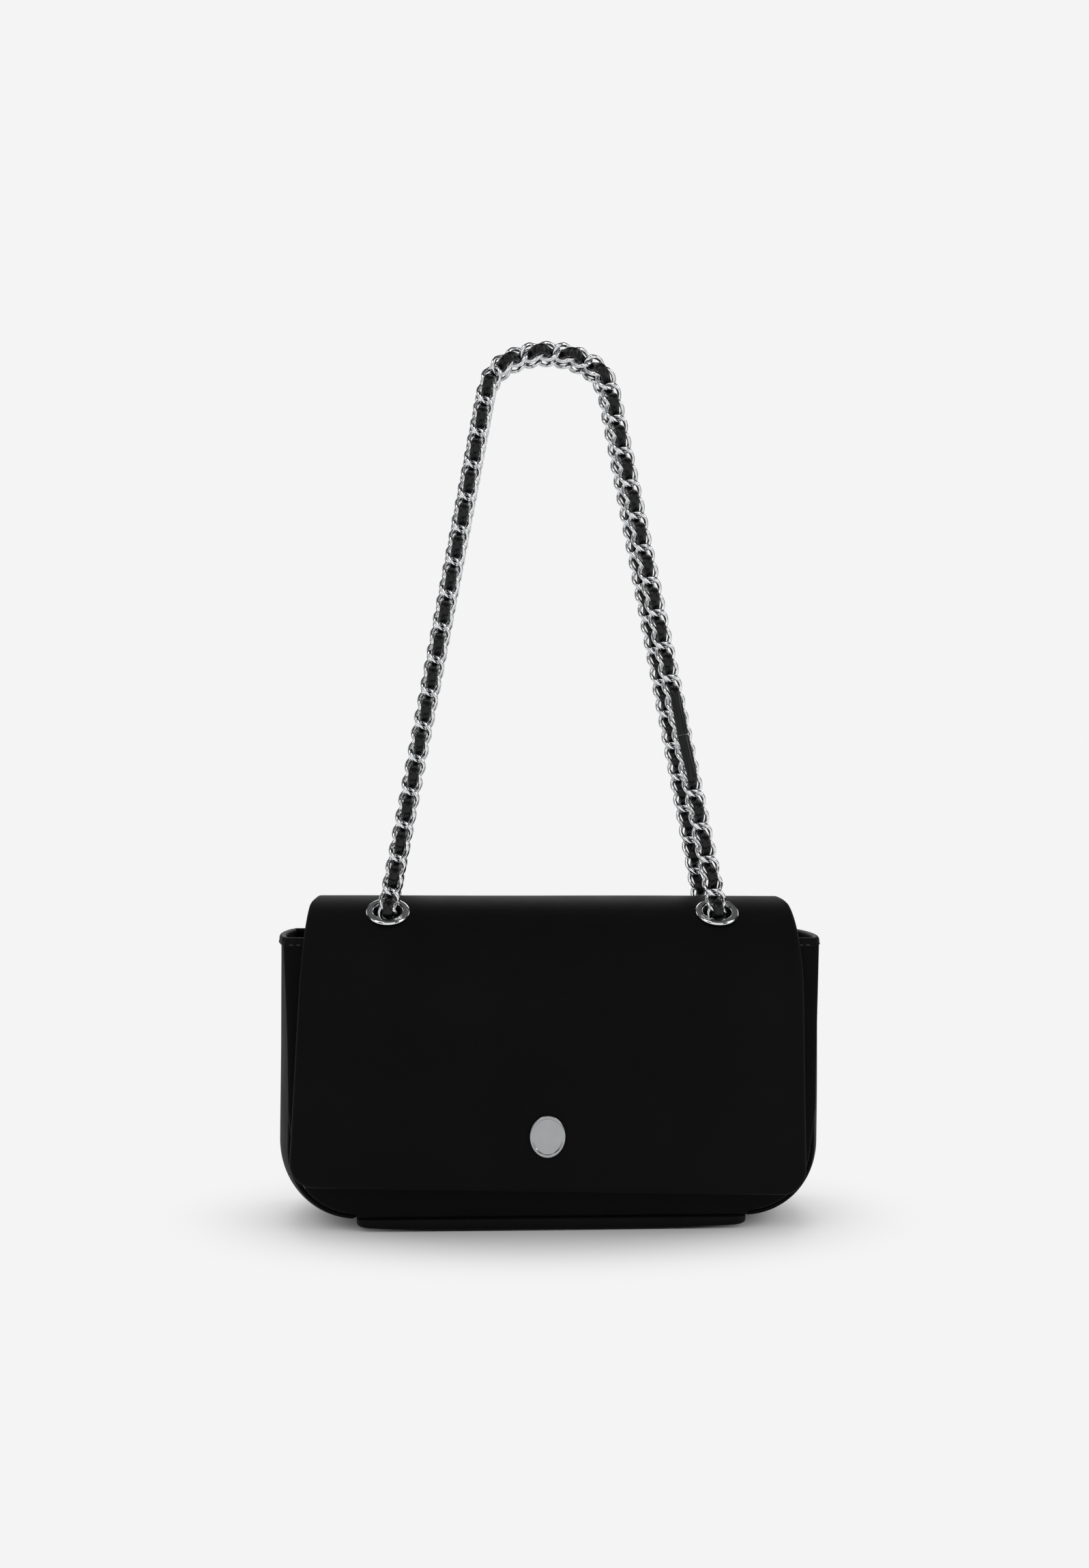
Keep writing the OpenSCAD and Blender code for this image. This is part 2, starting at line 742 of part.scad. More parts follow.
module eyelet_front_right() {
  at_eyelet(false, true) eyelet();
}

module eyelet_back_left() {
  at_eyelet(true, false) eyelet();
}

module eyelet_back_right() {
  at_eyelet(false, false) eyelet();
}

module eyelet_washers() {
  color(bright_metal) all_eyelets() translate([0, 0, washer_top - washer_t]) difference() {
    cylinder(d = washer_d, h = washer_t);
    translate([0, 0, -over]) cylinder(d = barrel_d + 2 * punch_gap, h = washer_t + 2 * over);
  }
}

// Chain and lace

// Places its children in a frame: local X along the chain, local Y across it, local Z out of its face
module in_frame(f) {
  multmatrix([for (i = [0 : 2]) [f[1][i], f[2][i], f[3][i], f[0][i]]]) children();
}

module link(turned) {
  rotate([turned ? link_turn : -link_turn, 0, 0])
    rotate_extrude($fn = ring_fn) translate([link_r, 0]) circle(d = wire_d, $fn = 24);
}

function link_s(i) = (i + 0.5) * link_pitch - hook_ease;

module lace(rings) {
  n = len(section_shares);
  last = len(rings) - 1;
  walls = [for (k = [0 : last - 1], i = [0 : n - 1]) let (a = k * n + i, b = k * n + (i + 1) % n)
    each [[a, b, b + n], [a, b + n, a + n]]];
  ends = [for (i = [1 : n - 2]) each [[0, i + 1, i], [last * n, last * n + i, last * n + i + 1]]];
  polyhedron(points = [for (r = rings) each r], faces = [for (f = concat(walls, ends)) [f[0], f[2], f[1]]]);
}

// Places along the lace from a to b, in pitches: both ends and each whole step between them
function lace_places(a, b) =
  concat([a], [for (k = [floor(a * lace_steps) + 1 : ceil(b * lace_steps) - 1]) k / lace_steps], [b]);
// Rings of the lace of a strand or a run, from a to b pitches along it
function strand_rings(a, b, splice) =
  [for (x = lace_places(a, b)) lace_ring(strand_frame(x * link_pitch - hook_ease), x, splice)];
function run_rings(a, b) =
  [for (x = lace_places(a, b)) lace_ring(run_frame(x * link_pitch - hook_ease), x, run_links + 1)];

module strand_chain() {
  color(bright_metal) for (i = [0 : strand_links - 1])
    in_frame(strand_frame(link_s(i))) link(i % 2 == 0);
}

// The links of the left and of the right run turn opposite ways, so that each crosses the link of the
// strand that it hooks into
module run_chain(left) {
  color(bright_metal) for (i = [0 : run_links - 1])
    in_frame(run_frame(link_s(i))) link((i % 2 == 0) == left);
}

module run_lace() {
  color(lace_leather) lace(run_rings(lace_end_share, run_links - lace_end_share));
}

// The strand's own plane: local X to the right, local Y up along the strand, local Z to the front
module front_plane() {
  translate([0, -hook_y, hook_z]) rotate([90 - strand_lean, 0, 0]) children();
}

module back_plane() {
  translate([0, hook_y, hook_z]) rotate([90 + strand_lean, 0, 0]) children();
}

module run_plane(left) {
  translate([(left ? -1 : 1) * eyelet_spacing / 2, 0, 0]) rotate([90, 0, 90]) children();
}

module flap_chain_left() {
  run_plane(true) run_chain(true);
}

module flap_chain_right() {
  run_plane(false) run_chain(false);
}

module flap_lace_left() {
  run_plane(true) run_lace();
}

module flap_lace_right() {
  run_plane(false) run_lace();
}

module front_chain() {
  front_plane() strand_chain();
}

// The lace of the front strand, in two lengths whose ends meet in the splice
module front_lace() {
  join = splice_at + splice_span / 2;
  half_gap = splice_gap / 2 / link_pitch;
  color(lace_leather) front_plane() {
    lace(strand_rings(lace_end_share, join - half_gap, splice_at));
    lace(strand_rings(join + half_gap, strand_links - lace_end_share, splice_at));
  }
}

module back_chain() {
  back_plane() strand_chain();
}

module back_lace() {
  color(lace_leather) back_plane()
    lace(strand_rings(lace_end_share, strand_links - lace_end_share, strand_links + 1));
}

front_panel();
back_panel();
side_gusset_left();
side_gusset_right();
base_panel();
base_board();
lining();
hem_front();
hem_back();
hem_left();
hem_right();
flap_anchor();
snap_socket();
pocket_panel();
zip_tapes();
zip_teeth();
zip_stops();
zip_slider();
zip_pull();
flap_cover();
flap_foam();
flap_lining();
badge();
snap_stud();
eyelet_front_left();
eyelet_front_right();
eyelet_back_left();
eyelet_back_right();
eyelet_washers();
flap_chain_left();
flap_chain_right();
flap_lace_left();
flap_lace_right();
front_chain();
front_lace();
back_chain();
back_lace();
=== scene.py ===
"""Looks of a flap bag on a doubled chain strap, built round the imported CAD.

The bag is in millimetres here, in the part's frame: +X right, -Y out of the front, +Z up. The stage is in metres.
"""

import math
from functools import partial

import bmesh
import bpy
import numpy as np
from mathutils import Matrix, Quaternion, Vector

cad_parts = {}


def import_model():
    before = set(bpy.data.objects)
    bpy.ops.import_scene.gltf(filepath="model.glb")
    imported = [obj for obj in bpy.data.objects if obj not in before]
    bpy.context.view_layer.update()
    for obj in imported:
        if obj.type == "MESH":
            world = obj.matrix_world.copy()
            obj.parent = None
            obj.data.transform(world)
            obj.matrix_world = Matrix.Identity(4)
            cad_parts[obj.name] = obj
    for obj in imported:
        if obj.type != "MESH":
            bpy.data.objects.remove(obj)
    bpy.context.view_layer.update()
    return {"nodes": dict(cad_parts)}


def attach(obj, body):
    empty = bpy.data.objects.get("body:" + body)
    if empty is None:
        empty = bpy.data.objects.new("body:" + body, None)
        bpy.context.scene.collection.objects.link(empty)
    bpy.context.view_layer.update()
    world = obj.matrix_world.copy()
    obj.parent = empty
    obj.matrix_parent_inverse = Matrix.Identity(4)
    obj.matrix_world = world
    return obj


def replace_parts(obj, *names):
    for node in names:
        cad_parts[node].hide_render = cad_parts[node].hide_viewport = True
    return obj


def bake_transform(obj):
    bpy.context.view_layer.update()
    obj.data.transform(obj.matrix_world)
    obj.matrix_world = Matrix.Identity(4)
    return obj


MM = 0.001
RIGHT_ANGLE = math.pi / 2
ENDS = (("front", -1), ("back", 1))
SIDES = (("left", -1), ("right", 1))

# Bag body
BAG_W, MOUTH_H, BODY_D = 249.0, 130.5, 72.8
MOUTH_IN, BOW_H = 9.6, 50.0  # how far the panels lean in at the mouth, and the height where they stand out most
GUSSET_R, CORNER_R = 94.0, 36.6
PANEL_T, GUSSET_T, LINING_T = 2.5, 2.0, 0.7
SEAM_STEP, SEAM_GAP = 1.0, 0.3
HEM_H, HEM_T, HEM_END_R, HEM_STEPS = 4.5, 3.2, 1.4, 20
HEM_TUCK = 1.5  # how far a panel's or gusset's edge runs up inside its folded hem
CORNER_DRAW = 2.3  # how far a panel draws in at its lower corners, where the gusset's edge shows
DRAW_ABOVE, DRAW_OVER = 20, 25  # where above the corner that starts, and over what height
BASE_H, BASE_CORNER_R, BOARD_T = 5.7, 6.0, 1.8
END_LIFT = 1.7  # how far the base's soft ends rise off the ground
FLOOR_ROUND, FLOOR_DRAW = 4, 1.6  # height and depth of the rounding at the lining's floor
GUSSET_CX = BAG_W / 2 - GUSSET_R
CORNER_X = BAG_W / 2 - CORNER_R
CORNER_Z = CORNER_R + SEAM_GAP
BOW_R = ((MOUTH_H - BOW_H) ** 2 + MOUTH_IN**2) / (2 * MOUTH_IN)
BOW_Y = BOW_R - BODY_D / 2
HEM_Z = MOUTH_H - HEM_H
HEM_MIDDLE = (HEM_Z + MOUTH_H) / 2
HEM_SEAM_Z = HEM_Z + 1.3
LINING_IN = PANEL_T + SEAM_GAP
LINING_Z = BASE_H + 2 * SEAM_GAP + BOARD_T

# Flap
FLAP_T, FLAP_LINING_T, FLAP_LINING_IN = 5.0, 0.8, 2.4
FLAP_GLUE = 0.25  # room between the padded leather and its lining
FLAP_LOW, FLAP_TOP_W, FLAP_LOW_W = 19.0, 222.0, 230.0
FLAP_CORNER_R, FLAP_LEAN = 11.0, math.radians(0.8)
LEAN_OVER, LEAN_MORE = 60.0, 0.7  # the lean sets in over this length, and grows by this share down to the edge
SHOULDER_R, SHOULDER_IN, SHOULDER_OVER = 3.2, 0.8, 6
ARCH_R, ARCH_H, WRAP_TURN = 42.5, 105.574, math.radians(14.2085)
HINGE_Z = 95.7556
STRIP_H, STRIP_T, STRIP_IN = 14.0, 2.3, 2.1  # the strip that sews the flap to the back
STRIP_EASE, STRIP_AHEAD = 12, 5  # the flap narrows to it over this length, from so far ahead of the arch's end
ARC_FRONT = ARCH_R * RIGHT_ANGLE
ARC_BACK = ARCH_R * (RIGHT_ANGLE + WRAP_TURN)
FLAP_END = ARC_FRONT + ARCH_H - FLAP_LOW
STRIP_LOW = HINGE_Z + FLAP_T / 2 - STRIP_H
STRIP_FROM = STRIP_LOW + 3.0
STRIP_SEAM_Z = STRIP_LOW + 2.6

# Eyelets and badge
EYELET_SPACING, EYELET_ANGLE = 150.0, math.radians(31.1746)
EYELET_BORE, EYELET_WALL, EYELET_R, EYELET_STEPS = 13.0, 0.8, 10.0, 72
BARREL_LOW = 36.1318
BADGE_X, BADGE_Z, BADGE_W, BADGE_H = -3.5, 44, 8.0, 9.5
BADGE_PROFILE = ((1.0, 0.0), (1.0, 0.45), (0.985, 0.85), (0.95, 1.08), (0.9, 1.15), (0.85, 1.02), (0.82, 0.8),
                 (0.79, 0.72), (0.75, 0.76), (0.6, 1.02), (0.4, 1.26), (0.2, 1.37), (0.05, 1.4))

# Chain and lace
HOOK_Y, HOOK_Z, HOOK_R, HOOK_EASE = 23.0353, 143.648, 44.5, 0.25
WIRE_D, PITCH, SLACK, LINK_TURN = 2.0, 7.7, 0.3, math.radians(36.0)
LINK_A, LINK_B = (PITCH + WIRE_D + SLACK) / 2, 3.8
LINK_STEPS, WIRE_STEPS = 48, 14
STRAND_LINKS, RUN_LINKS = 73, 8
STRAND_LEAN = math.radians(3.8)
STRAP_CORNER_R, STRAP_TOP_R, CORNER_TURN = 20.0, 40.0, math.radians(52.0)
STRAP_SWAY, SWAY_EASE = 0.012, 30  # share of its height by which a strand stands left, and how slowly it sets in
LACE_RISE, LACE_W, LACE_T, LACE_STEPS = 4.1, 4.5, 2.0, 18
LACE_RINGS = 10  # rings of a lace to each pitch
SPLICE_AT, SPLICE_SPAN, SPLICE_CUT = 60, 5, 0.012
SPLICE_WIDER, SPLICE_DIP, DIP_OVER = 0.14, 0.3, 0.8
SQUARE_END, ROUND_END = 0.93, (0.93, 0.7, 0.25)  # a lace's share of its full width at its ends

# Pocket and zip
POCKET_W, POCKET_H, POCKET_T, ZIP_Z, TAPE_W, TAPE_T, TEETH_W = 140.0, 64.0, 0.8, 100.0, 7.0, 0.6, 1.4
POCKET_IN = LINING_IN + LINING_T + SEAM_GAP

# Stitches: the thread dips in at both ends of a stitch, and is thinner there
STITCH_PITCH, STITCH_LENGTH, THREAD_R, THREAD_SINK, THREAD_STEPS = 3.2, 2.3, 0.26, 0.06, 8
STITCH_DIP = (-0.9, -0.15, 0.35, 0.5, 0.35, -0.15, -0.9)
STITCH_TAPER = (0.35, 0.85, 1, 1, 1, 0.85, 0.35)

# Stage, in metres
BACKDROP = 0.905
FLOOR_R, FLOOR_Z = 9, -0.0002
CARD_H = 0.9
CARDS = (("flag_left", -0.5, -0.75, 0.28), ("flag_right", 0.52, -0.7, 0.3),
         ("flag_far_left", -0.9, 0.1, 0.5), ("flag_far_right", 0.9, 0.1, 0.5),
         ("flag_back_left", -0.5, 0.8, 0.3), ("flag_back_right", 0.5, 0.8, 0.3))
FOCAL_PX, PHOTO_H_PX, SENSOR = 2509, 2299, 36
CAMERA_FAR, CAMERA_Z, CAMERA_YAW, CAMERA_ROLL, AIM_X = 0.8, 0.2, math.radians(4.0), 0.006, -0.003


# Materials


class Nodes:
    """A node tree, with short calls to add nodes and links."""

    def __init__(self, tree):
        self.tree = tree

    def add(self, kind, **values):
        """Adds a node and sets its sockets, with _ for a space in their names, or its properties."""
        node = self.tree.nodes.new(kind)
        for key, value in values.items():
            socket = key.replace("_", " ")
            if socket in node.inputs:
                node.inputs[socket].default_value = value
            else:
                setattr(node, key, value)
        return node

    def link(self, a, b):
        self.tree.links.new(a, b)

    def math(self, operation, a, b):
        node = self.add("ShaderNodeMath", operation=operation)
        for socket, value in zip(node.inputs, (a, b)):
            if isinstance(value, float):
                socket.default_value = value
            else:
                self.link(value, socket)
        return node.outputs["Value"]

    def spread(self, value, **ends):
        """Carries 0 to 1, or the range given, onto another range."""
        node = self.add("ShaderNodeMapRange", **ends)
        self.link(value, node.inputs["Value"])
        return node.outputs["Result"]

    def seen(self):
        """1 for rays that the camera, a mirror or glass sends out, else 0."""
        path = self.add("ShaderNodeLightPath").outputs
        either = self.math("MAXIMUM", path["Is Camera Ray"], path["Is Glossy Ray"])
        return self.math("MAXIMUM", either, path["Is Transmission Ray"])

    def mix(self, share, a, b, end):
        """Mixes two shaders into an output."""
        node = self.add("ShaderNodeMixShader")
        for socket, value in zip(node.inputs, (share, a, b)):
            self.link(value, socket)
        self.link(node.outputs[0], end)


class Surface(Nodes):
    """The nodes of a new material."""

    def __init__(self, name):
        self.material = bpy.data.materials.new(name)
        self.material.use_nodes = True
        super().__init__(self.material.node_tree)
        self.shader = self.tree.nodes["Principled BSDF"]
        self.output = self.tree.nodes["Material Output"]
        self.coords = self.tree.nodes.new("ShaderNodeTexCoord").outputs["Object"]

    def noise(self, scale, detail=4.0, rough=0.55):
        node = self.add("ShaderNodeTexNoise", Scale=scale, Detail=detail, Roughness=rough)
        self.link(self.coords, node.inputs["Vector"])
        return node.outputs["Fac"]

    def cells(self, scale):
        node = self.add("ShaderNodeTexVoronoi", feature="F1", Scale=scale)
        self.link(self.coords, node.inputs["Vector"])
        return node.outputs["Distance"]

    def colour(self, value, *stops):
        """Base colour from a value, by stops of a place and a colour."""
        node = self.add("ShaderNodeValToRGB")
        for element, (place, colour) in zip(node.color_ramp.elements, stops):
            element.position = place
            element.color = (*colour, 1)
        self.link(value, node.inputs["Fac"])
        self.link(node.outputs["Color"], self.shader.inputs["Base Color"])

    def roughness(self, value, low, high):
        self.link(self.spread(value, To_Min=low, To_Max=high), self.shader.inputs["Roughness"])

    def bump(self, height, distance, strength):
        node = self.add("ShaderNodeBump", Strength=strength, Distance=distance)
        self.link(height, node.inputs["Height"])
        self.link(node.outputs["Normal"], self.shader.inputs["Normal"])

    def set(self, **values):
        for key, value in values.items():
            self.shader.inputs[key.replace("_", " ")].default_value = value


def leather(name, dark, light, roughness, grain, sheen, gloss):
    """Black leather: fine grain, a soft nap and slow changes of tone."""
    n = Surface(name)
    n.colour(n.noise(18.0), (0.3, dark), (0.75, light))
    n.roughness(n.noise(60.0), roughness - 0.06, roughness + 0.06)
    pebble = n.math("MULTIPLY", n.cells(grain), 0.7)
    pores = n.math("MULTIPLY", n.noise(grain * 2.4, detail=3.0), 0.5)
    n.bump(n.math("ADD", pebble, pores), distance=0.00006, strength=0.6)
    n.set(Sheen_Weight=sheen, Sheen_Roughness=0.45, Specular_IOR_Level=gloss)
    return n.material


def metal(name, tone, roughness):
    """Polished plating with faint hairlines and cloudy wear."""
    n = Surface(name)
    worn = tuple(0.93 * c for c in tone)
    n.colour(n.noise(140.0), (0.35, worn), (0.65, tone))
    n.roughness(n.noise(400.0, detail=6.0), roughness * 0.5, roughness * 1.7)
    n.bump(n.noise(900.0, detail=6.0), distance=0.00001, strength=0.25)
    n.set(Metallic=1.0)
    return n.material


def cloth(name, dark, light, threads, roughness=0.85):
    """Plain weave: two crossing sets of threads, with slubs."""
    n = Surface(name)
    bands = []
    for direction in ("X", "Z", "Y"):
        wave = n.add("ShaderNodeTexWave", bands_direction=direction, Scale=threads, Distortion=0.6)
        n.link(n.coords, wave.inputs["Vector"])
        bands.append(wave.outputs["Fac"])
    weave = n.math("MULTIPLY", n.math("ADD", bands[0], bands[2]), bands[1])
    slubs = n.math("MULTIPLY", n.noise(90.0), 0.5)
    n.colour(n.math("ADD", n.math("MULTIPLY", weave, 0.35), slubs), (0.15, dark), (0.8, light))
    n.roughness(n.noise(300.0), roughness - 0.07, roughness + 0.07)
    n.bump(weave, distance=0.0001, strength=0.5)
    n.set(Sheen_Weight=0.15)
    return n.material


def board(name):
    """Pressed fibre board."""
    n = Surface(name)
    n.colour(n.noise(900.0, detail=8.0, rough=0.7), (0.3, (0.2, 0.15, 0.1)), (0.7, (0.42, 0.34, 0.24)))
    n.roughness(n.noise(200.0), 0.75, 0.95)
    n.bump(n.noise(1500.0), distance=0.0001, strength=0.6)
    return n.material


BLACK = {"dark": (0.0022, 0.0022, 0.0024), "light": (0.0034, 0.0034, 0.0036), "sheen": 0.01}
LEATHER = leather("soft_black_leather", **BLACK, roughness=0.6, grain=1500.0, gloss=0.06)
EDGE = leather("edge_leather", **BLACK, roughness=0.52, grain=1700.0, gloss=0.08)
LACE = leather("lace_leather", (0.0025, 0.0025, 0.0028), (0.0045, 0.0045, 0.0048),
               roughness=0.3, grain=2200.0, sheen=0.0, gloss=0.3)
CHROME = metal("polished_chrome", (0.8, 0.81, 0.825), roughness=0.06)
SATIN = metal("zip_metal", (0.72, 0.73, 0.75), roughness=0.18)
BADGE = metal("badge_metal", (0.4, 0.405, 0.415), roughness=0.14)
LINING = cloth("lining_cloth", (0.27, 0.265, 0.26), (0.42, 0.415, 0.41), threads=900.0)
TAPE = cloth("zip_tape", (0.008, 0.008, 0.009), (0.02, 0.02, 0.022), threads=700.0, roughness=0.9)
THREAD = cloth("black_thread", (0.012, 0.012, 0.013), (0.03, 0.03, 0.032), threads=1800.0, roughness=0.6)
BOARD = board("fibre_board")


# Mesh helpers


def placed(name, data):
    """A new object in the scene."""
    item = bpy.data.objects.new(name, data)
    bpy.context.scene.collection.objects.link(item)
    return item


def make(name, points, faces, material, body, slot):
    """A mesh piece in the part's frame. It rides on a body, if one is given."""
    mesh = bpy.data.meshes.new(name)
    mesh.from_pydata([tuple(p) for p in np.asarray(points) * MM], [], [tuple(f) for f in faces])
    work = bmesh.new()
    work.from_mesh(mesh)
    bmesh.ops.remove_doubles(work, verts=work.verts, dist=0.000002)
    bmesh.ops.recalc_face_normals(work, faces=work.faces)
    work.to_mesh(mesh)
    work.free()
    mesh.materials.append(material)
    mesh.shade_smooth()
    piece = placed(name, mesh)
    if body:
        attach(piece, body)
    return piece


def smooth(u):
    """Eases from 0 to 1."""
    return u * u * (3 - 2 * u)


def rounded(distance, reach):
    """Share of full thickness at a distance from an edge that is rounded over reach."""
    return math.sqrt(max(1 - (1 - min(distance / reach, 1)) ** 2, 0))


def signed_power(value, power):
    return math.copysign(abs(value) ** power, value)


def turns(steps):
    """Angles once round."""
    return np.linspace(0, 2 * math.pi, steps, endpoint=False)


def circle(radius, steps):
    return [(radius * math.cos(t), radius * math.sin(t)) for t in turns(steps)]


def unit(v):
    """Unit vector, or a row of them."""
    return v / np.linalg.norm(v, axis=-1, keepdims=True)


def grid_faces(rows, cols, start=0, flip=False, closed=False):
    """Quads of a grid of points, whose rows close into rings if asked."""
    found = []
    for i in range(rows - 1):
        for j in range(cols if closed else cols - 1):
            a, b = start + i * cols + j, start + i * cols + (j + 1) % cols
            quad = (a, b, b + cols, a + cols)
            found.append(quad[::-1] if flip else quad)
    return found


def tube_faces(rings, steps):
    """Faces of a tube, with both of its ends closed."""
    ends = [tuple(range(steps)), tuple(range((rings - 1) * steps, rings * steps))[::-1]]
    return grid_faces(rings, steps, closed=True) + ends


def torus_faces(rings, steps):
    """Faces of a tube that runs back into itself."""
    return [(a + j, b + j, b + (j + 1) % steps, a + (j + 1) % steps)
            for a, b in ((i * steps, (i + 1) % rings * steps) for i in range(rings)) for j in range(steps)]


def close_ring(points, faces, first, n, shares, level):
    """Fills the ring of n points from first on: by smaller rings, which even out to a level, and a last face."""
    start = len(points)
    ring = points[first:first + n]
    for share in shares:
        points += [(x * share, y * share, z - (1 - share**4) * (z - level)) for x, y, z in ring]
    faces += [(first + j, first + (j + 1) % n, start + (j + 1) % n, start + j) for j in range(n)]
    faces += grid_faces(len(shares), n, start, closed=True)
    faces.append(tuple(start + (len(shares) - 1) * n + j for j in range(n)))


def border_distance(flat):
    """Distance of each point of a flat grid from the grid's border, in the flat pattern."""
    rows, cols = flat.shape[:2]
    border = np.concatenate([flat[0], flat[1:-1, -1], flat[-1][::-1], flat[1:-1, 0][::-1]])
    points = flat.reshape(-1, 2)
    best = np.full(len(points), np.inf)
    for p, q in zip(border, np.roll(border, -1, axis=0)):
        d = q - p
        t = np.clip(((points - p) @ d) / max(d @ d, 1e-12), 0, 1)
        best = np.minimum(best, np.linalg.norm(points - (p + t[:, None] * d), axis=1))
    return best.reshape(rows, cols)


def normals_of(grid):
    """Unit normals of a grid of points."""
    n = np.cross(np.gradient(grid, axis=1), np.gradient(grid, axis=0))
    return n / np.maximum(np.linalg.norm(n, axis=2, keepdims=True), 1e-9)


def waves(a, b, seed):
    """Slow unevenness of soft leather, about -1 to 1, from two lengths in millimetres."""
    pick = np.random.default_rng(seed)
    total = np.zeros_like(a)
    for _ in range(5):
        u, v = pick.uniform(-1, 1, 2) / pick.uniform(9, 26)
        total += np.sin(u * a + v * b + pick.uniform(0, 6.28)) / 5
    return total


def unevenness(flat, height, reach, seed):
    """Unevenness of a sheet, as a depth below its highest. It fades out over reach towards the border."""
    inside = np.clip(border_distance(flat) / reach, 0, 1)
    return height * waves(flat[:, :, 0], flat[:, :, 1], seed) * inside - height


def pad(name, flat, grid, thickness, edge, material, body, slot, sense=1):
    """A padded sheet: grid holds its outer face, the sheet lies below it, and its edges are rounded."""
    rows, cols = grid.shape[:2]
    normal = sense * normals_of(grid)
    share = np.clip(border_distance(flat) / edge, 0, 1)
    full = np.broadcast_to(thickness, share.shape) / 2
    half = full * np.sqrt(np.maximum(1 - (1 - share) ** 2, 0))
    middle = grid - normal * full[:, :, None]
    top = middle + normal * half[:, :, None]
    low = middle - normal * half[:, :, None]
    points = np.concatenate([top.reshape(-1, 3), low.reshape(-1, 3)])
    faces = grid_faces(rows, cols) + grid_faces(rows, cols, rows * cols, flip=True)
    return make(name, points, faces, material, body, slot)


def spaced(low, high, step, near=(0.12, 0.4, 0.9, 1.6, 2.6, 4.0)):
    """Places from low to high, close together at both ends."""
    ends = [low] + [low + d for d in near if low + d < (low + high) / 2]
    others = [high - d for d in near if high - d > (low + high) / 2][::-1] + [high]
    inner = max(int(round((others[0] - ends[-1]) / step)), 1)
    middle = list(np.linspace(ends[-1], others[0], inner + 1)[1:-1])
    return np.array(ends + middle + others)


def joined(parts):
    """Several meshes, given as points and faces, as one."""
    points, faces, start = [], [], 0
    for p, f in parts:
        points.append(np.asarray(p))
        faces += [tuple(i + start for i in face) for face in f]
        start += len(p)
    return np.concatenate(points), faces


def stitches(name, path, normals, body, slot):
    """A row of thread stitches that lie on a surface along a path."""
    path, normals = np.asarray(path), np.asarray(normals)
    steps = np.linalg.norm(np.diff(path, axis=0), axis=1)
    place = np.concatenate([[0], np.cumsum(steps)])
    dip, taper = np.array(STITCH_DIP) * THREAD_R, np.array(STITCH_TAPER) * THREAD_R
    ring = circle(1, THREAD_STEPS)
    parts = []
    for k in range(int(place[-1] / STITCH_PITCH)):
        start = (k + 0.5) * STITCH_PITCH - STITCH_LENGTH / 2
        at = np.linspace(start, start + STITCH_LENGTH, len(dip))
        p = np.stack([np.interp(at, place, path[:, i]) for i in range(3)], axis=1)
        n = unit(np.stack([np.interp(at, place, normals[:, i]) for i in range(3)], axis=1))
        side = unit(np.cross(n, unit(p[-1] - p[0])))
        centre = p + n * (dip - THREAD_SINK)[:, None]
        rows = [c + t * (q[0] * s + q[1] * m) for c, t, s, m in zip(centre, taper, side, n) for q in ring]
        parts.append((np.array(rows), tube_faces(len(dip), THREAD_STEPS)))
    points, faces = joined(parts)
    return make(name, points, faces, THREAD, body, slot)


def apply(piece):
    """Applies all modifiers of a piece to its mesh."""
    view = bpy.context.evaluated_depsgraph_get()
    made = bpy.data.meshes.new_from_object(piece.evaluated_get(view))
    made.name = piece.name
    piece.modifiers.clear()
    piece.data = made


def rod(centre, axis, radius, low, high, steps=48):
    """A closed cylinder, to cut with."""
    turn = Vector(axis).normalized().to_track_quat("Z", "Y").to_matrix()
    points = [Vector(centre) + turn @ Vector((x, y, z)) for z in (low, high) for x, y in circle(radius, steps)]
    ends = [tuple(range(steps))[::-1], tuple(range(steps, 2 * steps))]
    mesh = bpy.data.meshes.new("cutter")
    mesh.from_pydata([tuple(p * MM) for p in points], [], grid_faces(2, steps, closed=True) + ends)
    return placed("cutter", mesh)


def cut(piece, cutters):
    """Cuts holes with closed meshes, and removes those."""
    for tool in cutters:
        modifier = piece.modifiers.new("cut", "BOOLEAN")
        modifier.operation = "DIFFERENCE"
        modifier.solver = "EXACT"
        modifier.object = tool
        bpy.context.view_layer.update()
        apply(piece)
        bpy.data.objects.remove(tool)
    piece.data.shade_smooth()
    piece.data.set_sharp_from_angle(angle=math.radians(40))


# Body


def panel_y(z, k=0.0):
    """Distance of a panel's outer face from the middle, drawn in by k."""
    return np.sqrt((BOW_R - k) ** 2 - (z - BOW_H) ** 2) - BOW_Y


def side_reach(y, k=0.0):
    """Distance of the gusset from the axis of the lower corner, seen from above, drawn in by k."""
    return GUSSET_CX - CORNER_X + np.sqrt((GUSSET_R - k) ** 2 - np.asarray(y) ** 2)


def half_width(z, y, k=0.0):
    """Half width of the body, drawn in by k."""
    reach = side_reach(y, k)
    drop = np.clip(CORNER_Z - np.asarray(z), 0, None)
    return CORNER_X + np.sqrt(np.maximum(reach**2 - np.minimum(drop, reach) ** 2, 0))


